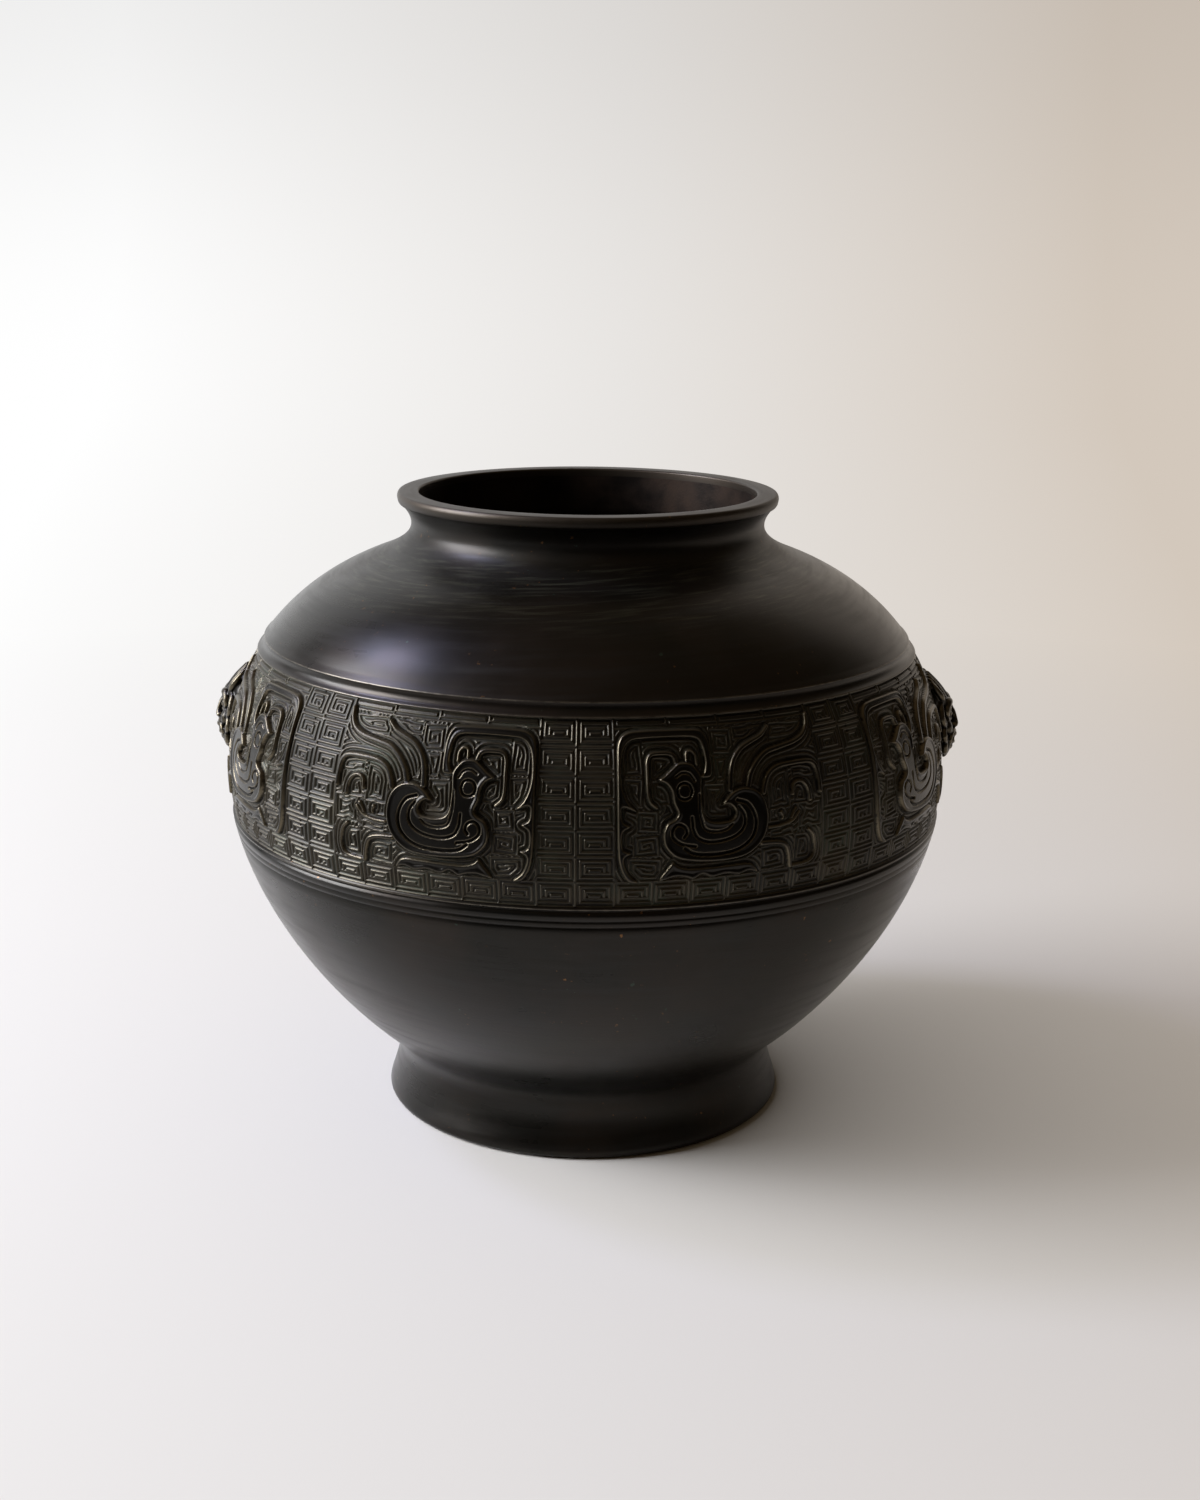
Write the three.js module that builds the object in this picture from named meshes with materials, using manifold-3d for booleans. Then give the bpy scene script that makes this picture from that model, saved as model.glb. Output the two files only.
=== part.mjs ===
// Bronze ikebana vase: a wide jar cast in bronze, with a flared foot, a short neck under a flat lip,
// a sunk band for relief ornament round the shoulder, and a beast mask riveted to each side.
// Millimetres, +Z up, origin at the centre of the foot's underside. The masks sit on the X axis.

import * as THREE from 'three';
import { mergeVertices } from 'three/addons/utils/BufferGeometryUtils.js';
import Module from 'manifold-3d';

const wasm = await Module();
wasm.setup();

// Overall form of the casting
const HEIGHT = 244;
const BELLY_RADIUS = 141;
const BELLY_HEIGHT = 138;
const WALL = 3;
const SEGMENTS = 44;

// Foot ring: base edge, widest point of the flare, and the waist where the foot meets the bowl
const FOOT_BASE_RADIUS = 75.5;
const FOOT_FLARE_RADIUS = 79.3;
const FOOT_FLARE_HEIGHT = 6.5;
const FOOT_FLARE_REACH = 5;
const FOOT_EDGE_ROUND = 1.6;
const WAIST_RADIUS = 72;
const WAIST_HEIGHT = 23.5;
const WAIST_LEAN = 1.5;
const WAIST_REACH = 8;
const FOOT_INNER_RADIUS = 69.5;

// Fullness of the bowl: how far each end of its curves runs along its own direction
const BOWL_RISE_ANGLE = 33;
const BOWL_START_REACH = 35;
const BOWL_END_REACH = 46;
const SHOULDER_START_REACH = 46;
const SHOULDER_END_REACH = 29.5;
const SHOULDER_FALL_ANGLE = 20.5;

// Neck and lip, as drops below the rim
const SHOULDER_END_RADIUS = 84;
const SHOULDER_END_DROP = 25;
const NECK_RADIUS = 68.2;
const NECK_DROP = 12.3;
const LIP_RADIUS = 73.5;
const LIP_SIDE_HEIGHT = 4.5;
const LIP_TAPER = 1.4;
const LIP_EDGE_ROUND = 1.2;
const MOUTH_RADIUS = 65.2;
const MOUTH_EDGE_ROUND = 0.8;

// Sunk band for the relief, placed from the belly line, with a collar moulding above it
const BAND_BELOW_BELLY = 17;
const BAND_HEIGHT = 64;
const BAND_DEPTH = 0.9;
const COLLAR_HEIGHT = 4.4;
const COLLAR_DEPTH = 0.5;
const STEP_RUN = 0.5;

// Relief on the band: how far the phoenixes stand from its floor and reach into the wall, and the
// widths of what lies between them
const PHOENIX_WIDTH = 78.7;
const PHOENIX_BODY_STAND = 1.4;
const PHOENIX_LINE_STAND = 0.95;
const PHOENIX_LOW_STAND = 0.75;
const PHOENIX_ROOT = 0.8;
const FRONT_DIVIDER_WIDTH = 26.6;
const MASK_DIVIDER_WIDTH = 46.8;

// Base plate: a turned disc let into the foot, its spigot filling the ledge left in the casting
const LEDGE_HEIGHT = 13;
const LEDGE_THICKNESS = 3.2;
const LEDGE_RADIUS = 62;
const PLATE_FLANGE_THICKNESS = 3;
const FIT_CLEARANCE = 0.3;
const SOLDER_LEG = 3;
const SOLDER_FULLNESS = 0.6;

// Beast masks and the rivets that hold them
const MASK_CENTRE_HEIGHT = 156;
const MASK_WIDTH = 33;
const MASK_TALL = 37;
const MASK_PROUD = 9.6;
const MASK_LOCK_RADIUS = 1.35;
const MASK_RIDGE_RADIUS = 1.2;
const RIVET_SHANK_RADIUS = 1.5;
const RIVET_HEAD_RADIUS = 3.4;
const RIVET_HEAD_HEIGHT = 1.7;
const RIVET_BITE = 3.2;
const RIVET_SPREAD = 17;
const SPOT_FACE_MARGIN = 0.8;
const RIVET_SIDES = 16;

const BRONZE = { color: 0x2c2824, roughness: 0.42, metalness: 0.9 };
const MASK_BRONZE = { color: 0x2a2622, roughness: 0.48, metalness: 0.9 };
const PLATE_BRONZE = { color: 0x3a3028, roughness: 0.6, metalness: 0.85 };
const SOLDER = { color: 0x55534e, roughness: 0.6, metalness: 0.8 };
const RIVET_BRONZE = { color: 0x332c25, roughness: 0.5, metalness: 0.9 };

const vase = new THREE.Group();

function radians(degrees) {
  return THREE.MathUtils.degToRad(degrees);
}

function addPiece(name, geometry, finish, turn = 0) {
  const mesh = new THREE.Mesh(geometry, new THREE.MeshStandardMaterial(finish));
  mesh.name = name;
  mesh.rotation.z = turn;
  vase.add(mesh);
}

// Solids for cutting and joining
function toSolid(geometry) {
  const bare = geometry.clone();
  bare.deleteAttribute('normal');
  bare.deleteAttribute('uv');
  const merged = mergeVertices(bare, 1e-4);
  return new wasm.Manifold(new wasm.Mesh({
    numProp: 3,
    vertProperties: new Float32Array(merged.attributes.position.array),
    triVerts: new Uint32Array(merged.index.array),
  }));
}

function toGeometry(solid) {
  const mesh = solid.getMesh();
  const geometry = new THREE.BufferGeometry();
  geometry.setAttribute('position', new THREE.BufferAttribute(new Float32Array(mesh.vertProperties), 3));
  geometry.setIndex(new THREE.BufferAttribute(new Uint32Array(mesh.triVerts), 1));
  geometry.computeVertexNormals();
  return geometry;
}

// A casting is solid metal: sealed pockets left where lumps meet, which have a negative volume, go
function withoutPockets(solid) {
  return wasm.Manifold.compose(solid.decompose().filter((piece) => piece.volume() > 0));
}

// A closed profile of (radius, height) points, listed with the solid on its left, spun round +Z
function spin(profile, segments = SEGMENTS) {
  const geometry = new THREE.LatheGeometry([...profile, profile[0].clone()], segments);
  return geometry.rotateX(Math.PI / 2);
}

function point(radius, height) {
  return new THREE.Vector2(radius, height);
}

// Round corner: a quarter-turn arc, or part of one, from one angle to another
function arc(centreRadius, centreHeight, size, fromDegrees, toDegrees, steps) {
  const curve = new THREE.EllipseCurve(
    centreRadius, centreHeight, size, size,
    radians(fromDegrees), radians(toDegrees), toDegrees < fromDegrees,
  );
  return curve.getPoints(steps);
}

// Outline of the casting
const bowlCurve = new THREE.CubicBezierCurve(
  point(WAIST_RADIUS, WAIST_HEIGHT),
  point(
    WAIST_RADIUS + BOWL_START_REACH * Math.cos(radians(BOWL_RISE_ANGLE)),
    WAIST_HEIGHT + BOWL_START_REACH * Math.sin(radians(BOWL_RISE_ANGLE)),
  ),
  point(BELLY_RADIUS, BELLY_HEIGHT - BOWL_END_REACH),
  point(BELLY_RADIUS, BELLY_HEIGHT),
);

const shoulderEndHeight = HEIGHT - SHOULDER_END_DROP;
const shoulderCurve = new THREE.CubicBezierCurve(
  point(BELLY_RADIUS, BELLY_HEIGHT),
  point(BELLY_RADIUS, BELLY_HEIGHT + SHOULDER_START_REACH),
  point(
    SHOULDER_END_RADIUS + SHOULDER_END_REACH * Math.cos(radians(SHOULDER_FALL_ANGLE)),
    shoulderEndHeight - SHOULDER_END_REACH * Math.sin(radians(SHOULDER_FALL_ANGLE)),
  ),
  point(SHOULDER_END_RADIUS, shoulderEndHeight),
);

const neckHeight = HEIGHT - NECK_DROP;
const lipUnderHeight = HEIGHT - LIP_SIDE_HEIGHT;
const lipUnderRadius = LIP_RADIUS - LIP_TAPER;
const neckRootRise = (SHOULDER_END_RADIUS - NECK_RADIUS) * Math.tan(radians(SHOULDER_FALL_ANGLE));
const neckRootCurve = new THREE.QuadraticBezierCurve(
  point(SHOULDER_END_RADIUS, shoulderEndHeight),
  point(NECK_RADIUS, shoulderEndHeight + neckRootRise),
  point(NECK_RADIUS, neckHeight),
);
const neckCurve = new THREE.QuadraticBezierCurve(
  point(NECK_RADIUS, neckHeight),
  point(NECK_RADIUS, (neckHeight + lipUnderHeight) / 2),
  point(lipUnderRadius, lipUnderHeight),
);

const SAMPLES = 240;
const bowlSamples = [...bowlCurve.getPoints(SAMPLES), ...shoulderCurve.getPoints(SAMPLES).slice(1)];

// Outer radius of the bowl and shoulder at a height, before the band is sunk
function bodyRadius(height) {
  const above = bowlSamples.findIndex((sample) => sample.y >= height);
  const next = above < 0 ? bowlSamples.length - 1 : Math.max(above, 1);
  const upper = bowlSamples[next];
  const lower = bowlSamples[next - 1];
  const share = (height - lower.y) / (upper.y - lower.y);
  return lower.x + share * (upper.x - lower.x);
}

// Angle by which the wall's outward normal rises above the horizontal at a height
function wallTilt(height) {
  const reach = 0.5;
  const change = bodyRadius(height + reach) - bodyRadius(height - reach);
  return Math.atan2(-change, 2 * reach);
}

const bandBottom = BELLY_HEIGHT - BAND_BELOW_BELLY;
const bandTop = bandBottom + BAND_HEIGHT;
const collarTop = bandTop + COLLAR_HEIGHT;

function heights(from, to, steps) {
  return Array.from({ length: steps + 1 }, (unused, i) => from + (to - from) * i / steps);
}

function wallPoints(from, to, steps, stand) {
  return heights(from, to, steps).map((height) => point(bodyRadius(height) + stand, height));
}

function bowlOutline(stand) {
  return wallPoints(WAIST_HEIGHT, bandBottom - STEP_RUN, 7, stand);
}

function bandOutline(stand) {
  return wallPoints(bandBottom, bandTop, 5, stand - BAND_DEPTH);
}

function shoulderOutline(stand) {
  return [
    ...wallPoints(bandTop + STEP_RUN, collarTop, 1, stand - COLLAR_DEPTH),
    ...wallPoints(collarTop + STEP_RUN, shoulderEndHeight, 7, stand),
  ];
}

function footOutline() {
  const flare = new THREE.CubicBezierCurve(
    point(FOOT_FLARE_RADIUS, FOOT_FLARE_HEIGHT),
    point(FOOT_FLARE_RADIUS, FOOT_FLARE_HEIGHT + FOOT_FLARE_REACH),
    point(WAIST_RADIUS + WAIST_LEAN, WAIST_HEIGHT - WAIST_REACH),
    point(WAIST_RADIUS, WAIST_HEIGHT),
  );
  const underEdge = new THREE.QuadraticBezierCurve(
    point(FOOT_BASE_RADIUS, 0),
    point(FOOT_FLARE_RADIUS, FOOT_EDGE_ROUND),
    point(FOOT_FLARE_RADIUS, FOOT_FLARE_HEIGHT),
  );
  return [...underEdge.getPoints(3), ...flare.getPoints(4).slice(1)];
}

function lipOutline() {
  const edge = LIP_EDGE_ROUND;
  const mouth = MOUTH_EDGE_ROUND;
  return [
    ...arc(LIP_RADIUS - edge, HEIGHT - edge, edge, 0, 90, 3),
    ...arc(MOUTH_RADIUS + mouth, HEIGHT - mouth, mouth, 90, 180, 2),
  ];
}

// A curve of the outline moved inwards by the wall, square to itself
function insideOf(curve) {
  const steps = 6;
  return curve.getPoints(steps).map((spot, i) => {
    const along = curve.getTangent(i / steps);
    return point(spot.x - WALL * along.y, spot.y + WALL * along.x);
  });
}

// Height at which the inside of the shoulder, run on straight, meets the bore of the neck
function boreFoot(shoulderInside) {
  const end = shoulderInside[shoulderInside.length - 1];
  return end.y + (end.x - MOUTH_RADIUS) * Math.tan(radians(SHOULDER_FALL_ANGLE));
}

function castingProfile() {
  const ledgeTop = LEDGE_HEIGHT + LEDGE_THICKNESS;
  const shoulderInside = insideOf(shoulderCurve);
  const upwards = [...insideOf(bowlCurve), ...shoulderInside.slice(1)];
  return [
    point(FOOT_INNER_RADIUS, 0),
    ...footOutline(),
    ...bowlOutline(0).slice(1),
    ...bandOutline(0),
    ...shoulderOutline(0),
    ...neckRootCurve.getPoints(3).slice(1),
    ...neckCurve.getPoints(3).slice(1),
    ...lipOutline(),
    point(MOUTH_RADIUS, boreFoot(shoulderInside)),
    ...upwards.reverse(),
    point(WAIST_RADIUS - WALL, ledgeTop),
    point(LEDGE_RADIUS, ledgeTop),
    point(LEDGE_RADIUS, LEDGE_HEIGHT),
    point(FOOT_INNER_RADIUS, LEDGE_HEIGHT),
  ];
}

// Space that a piece fixed to the outside must stay clear of: the bowl without its hollow
function outerEnvelope() {
  const proud = FIT_CLEARANCE;
  return toSolid(spin([
    point(0, WAIST_HEIGHT),
    ...bowlOutline(proud),
    ...bandOutline(proud),
    ...shoulderOutline(proud),
    point(0, shoulderEndHeight),
  ]));
}

// Masks and rivets are made for the +X side and turned about the vase's axis to the other
const sides = { right: 0, left: Math.PI };

// Rivets: each stands square to the wall at its own height
const rivetHeights = {
  upper: MASK_CENTRE_HEIGHT + RIVET_SPREAD / 2,
  lower: MASK_CENTRE_HEIGHT - RIVET_SPREAD / 2,
};

// Turns a shape spun about +Z so that it points out of the wall at a height on the +X side
function placeOnWall(geometry, height) {
  geometry.rotateY(Math.PI / 2 - wallTilt(height));
  return geometry.translate(bodyRadius(height) - BAND_DEPTH, 0, height);
}

function rod(radius, from, to) {
  const profile = [point(0, from), point(radius, from), point(radius, to), point(0, to)];
  return spin(profile, RIVET_SIDES);
}

const wallBehindRivet = WALL - BAND_DEPTH;
const rivetHoleRadius = RIVET_SHANK_RADIUS + FIT_CLEARANCE;

function rivetGeometry(height) {
  const seat = -wallBehindRivet - FIT_CLEARANCE;
  const dome = new THREE.EllipseCurve(
    0, seat, RIVET_HEAD_RADIUS, RIVET_HEAD_HEIGHT, -Math.PI / 2, 0, false,
  ).getPoints(5);
  const profile = [
    ...dome,
    point(RIVET_SHANK_RADIUS, seat),
    point(RIVET_SHANK_RADIUS, RIVET_BITE),
    point(0, RIVET_BITE),
  ];
  return placeOnWall(spin(profile, RIVET_SIDES), height);
}

// Hole through the wall, with a spot face inside that squares the wall under the rivet's head
function rivetHole(height, turn) {
  const ends = 6;
  const spotRadius = RIVET_HEAD_RADIUS + SPOT_FACE_MARGIN;
  const bores = [
    rod(rivetHoleRadius, -wallBehindRivet - ends, ends),
    rod(spotRadius, -wallBehindRivet - ends, -wallBehindRivet),
  ];
  const [hole, spotFace] = bores.map((bore) => toSolid(placeOnWall(bore, height).rotateZ(turn)));
  return hole.add(spotFace);
}

function blindHole(height) {
  const back = 2;
  return toSolid(placeOnWall(rod(rivetHoleRadius, -back, RIVET_BITE + FIT_CLEARANCE), height));
}

// Relief of the band: eight phoenixes in their crest frames, in mirrored pairs. Each is a set of bars
// that follow lines of places. A place is given across from the edge that the phoenix faces and up
// from the band's foot, with half the bar's width there.
const phoenixBars = {
  crestFrame: {
    stand: PHOENIX_LINE_STAND,
    places: [[32.6, 44.6, 1.9], [33.5, 51, 1.2], [31.4, 58, 1.4], [26, 58.9, 1.4], [8, 58.9, 1.4],
      [1.9, 53.6, 1.1], [1.6, 39, 0.9], [1.6, 24, 0.9], [2.6, 14.8, 0.9], [6.8, 10.2, 0.9]],
  },
  head: {
    stand: PHOENIX_BODY_STAND,
    places: [[15.4, 44.4, 0.5], [20.6, 45.3, 3.8], [26.4, 45.4, 4.4], [30, 44.8, 2.4]],
  },
  neckAndCrescentBody: {
    stand: PHOENIX_BODY_STAND,
    places: [[25.1, 44, 5], [25.2, 37, 5], [25, 30.6, 7.6], [27.2, 24.6, 9.4], [37.6, 22.6, 6.9],
      [46.6, 25.4, 6.9], [48.7, 31.6, 6.1], [45.2, 36.4, 3.6], [38.6, 35.6, 0.9]],
  },
  crestHook: {
    stand: PHOENIX_LINE_STAND,
    places: [[21.9, 49.4, 1], [19.2, 52.5, 1], [12.6, 51.8, 0.9], [11.5, 39.6, 0.8], [14.3, 35.4, 0.7]],
  },
  longPlume: {
    stand: PHOENIX_LINE_STAND,
    places: [[77.4, 60, 0.8], [74.6, 54.6, 0.9], [56.7, 50.6, 1], [50.4, 45.8, 1.1], [47.9, 39.8, 1.1]],
  },
  shortPlume: {
    stand: PHOENIX_LINE_STAND,
    places: [[59, 58.4, 0.8], [52, 54.8, 0.9], [45, 51.4, 1], [42, 45.4, 1.1], [41.2, 38.8, 1.1]],
  },
  arch: {
    stand: PHOENIX_LINE_STAND,
    places: [[78, 35.2, 0.9], [77.2, 43.6, 0.9], [73, 46, 0.9], [58.6, 45.3, 1], [52.6, 35.6, 1]],
  },
  bodyHook: {
    stand: PHOENIX_LINE_STAND,
    places: [[64.3, 10.4, 0.8], [63, 17, 0.9], [58.4, 19.8, 1], [50.4, 20.4, 1]],
  },
  tailLeaf: {
    stand: PHOENIX_LOW_STAND,
    places: [[51.2, 10.4, 0.6], [47.4, 12, 1.8], [34, 12.1, 1.8], [20.6, 12.8, 2.1], [15.6, 10.6, 0.5]],
  },
};

// Four corners of a bar's section at each place: the roots of its edges in the wall, and their tops
function barCorners({ places, stand }, startTurn, way) {
  const line = places.map(([across, up]) => point(way * across, bandBottom + up));
  const turnAt = (spot) => startTurn + spot.x / BELLY_RADIUS;
  const middleTurn = turnAt(line[Math.floor(line.length / 2)]);
  const outward = new THREE.Vector3(Math.cos(middleTurn), Math.sin(middleTurn), 0);
  const onFloor = (spot, out) => {
    const radius = bodyRadius(spot.y) - BAND_DEPTH;
    const turn = turnAt(spot);
    return new THREE.Vector3(radius * Math.cos(turn), radius * Math.sin(turn), spot.y)
      .addScaledVector(outward, out);
  };
  return places.flatMap(([, , halfWidth], i) => {
    const run = line[Math.min(i + 1, line.length - 1)].clone().sub(line[Math.max(i - 1, 0)]);
    const aside = new THREE.Vector2(-run.y, run.x).setLength(halfWidth);
    const left = line[i].clone().add(aside);
    const right = line[i].clone().sub(aside);
    return [
      onFloor(left, -PHOENIX_ROOT),
      onFloor(left, stand),
      onFloor(right, stand),
      onFloor(right, -PHOENIX_ROOT),
    ];
  });
}

// A bar's section has four corners, so the same corner of the next place is four further on
function reliefBar(bar, startTurn, way) {
  const corners = barCorners(bar, startTurn, way);
  const end = corners.length - 4;
  const faces = [0, 3, 2, 0, 2, 1, end, end + 1, end + 2, end, end + 2, end + 3];
  for (let section = 0; section < end; section += 4) {
    for (let edge = 0; edge < 4; edge += 1) {
      const here = section + edge;
      const beside = section + (edge + 1) % 4;
      faces.push(here, beside, beside + 4, here, beside + 4, here + 4);
    }
  }
  return new wasm.Manifold(new wasm.Mesh({
    numProp: 3,
    vertProperties: new Float32Array(corners.flatMap((corner) => corner.toArray())),
    triVerts: new Uint32Array(faces),
  }));
}

// Two phoenixes stand on each side of the front divider and of the back one, and all face it
function phoenixes() {
  const quarterTurn = Math.PI / 2;
  const starts = [
    FRONT_DIVIDER_WIDTH / 2 / BELLY_RADIUS,
    quarterTurn - (MASK_DIVIDER_WIDTH / 2 + PHOENIX_WIDTH) / BELLY_RADIUS,
  ];
  const bars = [];
  for (const divider of [-quarterTurn, quarterTurn]) {
    for (const way of [1, -1]) {
      for (const start of starts) {
        const startTurn = divider + way * start;
        bars.push(...Object.values(phoenixBars).map((bar) => reliefBar(bar, startTurn, way)));
      }
    }
  }
  return wasm.Manifold.union(bars);
}

function vaseBody() {
  let body = toSolid(spin(castingProfile())).add(phoenixes());
  for (const turn of Object.values(sides)) {
    for (const height of Object.values(rivetHeights)) {
      body = body.subtract(rivetHole(height, turn));
    }
  }
  return toGeometry(body);
}

// Base plate and the solder fillet under its flange
const plateFlangeRadius = FOOT_INNER_RADIUS - FIT_CLEARANCE;
const plateBottom = LEDGE_HEIGHT - PLATE_FLANGE_THICKNESS;

function basePlate() {
  const spigotRadius = LEDGE_RADIUS - FIT_CLEARANCE;
  return spin([
    point(0, plateBottom),
    point(plateFlangeRadius, plateBottom),
    point(plateFlangeRadius, LEDGE_HEIGHT),
    point(spigotRadius, LEDGE_HEIGHT),
    point(spigotRadius, LEDGE_HEIGHT + LEDGE_THICKNESS),
    point(0, LEDGE_HEIGHT + LEDGE_THICKNESS),
  ]);
}

function solderRing() {
  return spin([
    point(plateFlangeRadius, plateBottom - SOLDER_LEG),
    point(plateFlangeRadius, plateBottom),
    point(plateFlangeRadius - SOLDER_LEG, plateBottom),
    point(plateFlangeRadius - SOLDER_LEG * SOLDER_FULLNESS, plateBottom - SOLDER_LEG * SOLDER_FULLNESS),
  ]);
}

// Beast mask on the +X side. A place on the face is given across, up and out, where 1 is the
// mask's half width, its half height and the stand of its nose from the wall.
function onFace(across, up, out) {
  const height = MASK_CENTRE_HEIGHT + up * MASK_TALL / 2;
  const radius = bodyRadius(height) + out * MASK_PROUD;
  const turn = across * MASK_WIDTH / 2 / BELLY_RADIUS;
  return new THREE.Vector3(radius * Math.cos(turn), radius * Math.sin(turn), height);
}

function lump(across, up, out, deep, wide, tall) {
  const geometry = new THREE.SphereGeometry(1, 10, 6);
  geometry.scale(deep * MASK_PROUD, wide * MASK_WIDTH / 2, tall * MASK_TALL / 2);
  const centre = onFace(across, up, out);
  return toSolid(geometry.translate(centre.x, centre.y, centre.z));
}

// A lock of hair or a ridge: a round bar along a curve through points of the face
function lock(places, size) {
  const steps = 4;
  const route = new THREE.CatmullRomCurve3(places.map((place) => onFace(...place)));
  const section = new THREE.Shape().absarc(0, 0, size, 0, 2 * Math.PI);
  return toSolid(new THREE.ExtrudeGeometry(section, {
    steps, curveSegments: 3, bevelEnabled: false, extrudePath: route,
  }));
}

function faceSide(side) {
  const mirror = (places) => places.map(([across, up, out]) => [side * across, up, out]);
  const mane = [
    [[0.1, 0.62, 0.42], [0.3, 0.8, 0.3], [0.5, 0.7, 0.26], [0.62, 0.42, 0.22]],
    [[0.3, 0.5, 0.45], [0.56, 0.62, 0.3], [0.76, 0.42, 0.2], [0.82, 0.1, 0.14]],
    [[0.52, 0.26, 0.42], [0.74, 0.3, 0.26], [0.88, 0.05, 0.14], [0.84, -0.28, 0.12]],
    [[0.58, -0.02, 0.38], [0.76, -0.06, 0.24], [0.8, -0.36, 0.14], [0.66, -0.64, 0.12]],
    [[0.5, -0.3, 0.36], [0.62, -0.42, 0.26], [0.56, -0.7, 0.16], [0.34, -0.9, 0.12]],
  ];
  const brow = [[0.1, 0.2, 0.78], [0.3, 0.36, 0.72], [0.52, 0.26, 0.52]];
  const jowl = [[0.1, -0.3, 0.78], [0.34, -0.38, 0.54], [0.4, -0.62, 0.3]];
  return [
    ...mane.map((places) => lock(mirror(places), MASK_LOCK_RADIUS)),
    lock(mirror(brow), MASK_RIDGE_RADIUS),
    lock(mirror(jowl), MASK_RIDGE_RADIUS),
    lump(side * 0.3, 0.1, 0.52, 0.16, 0.13, 0.1),
    lump(side * 0.66, 0.5, 0.3, 0.2, 0.16, 0.15),
  ];
}

function maskGeometry() {
  const lumps = [
    lump(0, 0.08, 0, 0.6, 0.7, 0.86),
    lump(0, 0.4, 0.34, 0.28, 0.18, 0.42),
    lump(0, 0.02, 0.5, 0.36, 0.22, 0.3),
    lump(0, -0.11, 0.74, 0.24, 0.22, 0.13),
    lump(0, -0.34, 0.3, 0.42, 0.44, 0.26),
    lump(0, -0.62, 0.24, 0.34, 0.36, 0.28),
    lump(0, -0.82, 0.08, 0.36, 0.26, 0.16),
    ...faceSide(1),
    ...faceSide(-1),
  ];
  let mask = wasm.Manifold.union(lumps).subtract(outerEnvelope());
  for (const height of Object.values(rivetHeights)) {
    mask = mask.subtract(blindHole(height));
  }
  return toGeometry(withoutPockets(mask));
}

addPiece('vase_body', vaseBody(), BRONZE);
addPiece('base_plate', basePlate(), PLATE_BRONZE);
addPiece('base_solder_ring', solderRing(), SOLDER);

const mask = maskGeometry();
for (const [side, turn] of Object.entries(sides)) {
  addPiece(`mask_${side}`, mask, MASK_BRONZE, turn);
  for (const [level, height] of Object.entries(rivetHeights)) {
    addPiece(`rivet_${side}_${level}`, rivetGeometry(height), RIVET_BRONZE, turn);
  }
}

export default vase;
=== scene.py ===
"""Dresses the bronze ikebana vase: casting, relief band, beast masks, base plate, solder and rivets.

Sizes are in millimetres in the vase's own frame, +Z up from the surface it stands on, and turn to
metres where a mesh is made. Angles round the vase are in degrees from the front divider of the
relief, which faces -Y, positive towards +X.
"""

import logging
import math
from dataclasses import dataclass, field
from enum import Enum
from functools import partial

import bmesh
import bpy
import numpy as np
from mathutils import Matrix, Vector

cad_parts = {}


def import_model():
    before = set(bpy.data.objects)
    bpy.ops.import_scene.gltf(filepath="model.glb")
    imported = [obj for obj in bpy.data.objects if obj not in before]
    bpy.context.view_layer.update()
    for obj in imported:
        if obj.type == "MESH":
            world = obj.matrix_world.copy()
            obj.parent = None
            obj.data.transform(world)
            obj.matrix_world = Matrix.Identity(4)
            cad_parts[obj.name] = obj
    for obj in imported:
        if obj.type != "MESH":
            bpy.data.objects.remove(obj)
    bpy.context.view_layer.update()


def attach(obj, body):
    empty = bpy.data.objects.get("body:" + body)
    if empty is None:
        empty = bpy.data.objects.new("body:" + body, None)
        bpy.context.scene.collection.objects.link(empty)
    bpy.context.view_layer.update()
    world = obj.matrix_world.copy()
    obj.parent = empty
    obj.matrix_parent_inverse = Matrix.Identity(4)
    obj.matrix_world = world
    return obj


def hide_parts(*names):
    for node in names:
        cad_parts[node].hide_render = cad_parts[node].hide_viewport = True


MM = 0.001
FAR = 1000.0  # in mm, more than any distance on the vase
BAKE_MAP = "OFBake"
BODY = "root"

Array = np.ndarray
Piece = bpy.types.Object
Material = bpy.types.Material
Socket = bpy.types.NodeSocket
Pair = tuple[float, float]
Line = tuple[Pair, ...]
log = logging.getLogger("vase")


class Side(Enum):
    """The two ends of the X axis, each with the turn that brings a piece there from +X."""

    RIGHT = 0.0
    LEFT = math.pi


class Level(Enum):
    """The two rivets of a mask, each with its share of the way between them."""

    UPPER = 0.5
    LOWER = -0.5


def word(choice: Enum) -> str:
    """The choice's name as the nodes spell it."""
    return choice.name.lower()


# Small tools for shapes

def bezier(points: Line, steps: int) -> Array:
    """Runs a Bezier curve through its control points.

    Args:
        points: Three or four control points.
        steps: Number of spans.

    Returns:
        The points of the curve, one row each.
    """
    spots = [np.array(point, float) for point in points]
    t = np.linspace(0, 1, steps + 1)[:, None]
    while len(spots) > 1:
        spots = [a * (1 - t) + b * t for a, b in zip(spots[:-1], spots[1:])]
    return spots[0]


def smooth_line(points: Line, closed: bool = False, per_span: int = 7) -> Array:
    """Runs a Catmull-Rom line through chosen points.

    Args:
        points: The points, of two or three numbers.
        closed: Whether the line returns to its start.
        per_span: Steps from one chosen point to the next.

    Returns:
        The points of the line, one row each.
    """
    spots = np.array(points, float)
    if closed:
        spots = np.vstack([spots[-1:], spots, spots[:2]])
    else:
        spots = np.vstack([2 * spots[:1] - spots[1:2], spots, 2 * spots[-1:] - spots[-2:-1]])
    t = np.arange(per_span)[:, None] / per_span
    spans = [
        0.5 * (2 * b + (c - a) * t + (2 * a - 5 * b + 4 * c - d) * t ** 2
               + (3 * b - 3 * c + d - a) * t ** 3)
        for a, b, c, d in zip(spots[:-3], spots[1:-2], spots[2:-1], spots[3:])
    ]
    if not closed:
        spans.append(spots[-2:-1])
    return np.vstack(spans)


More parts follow.
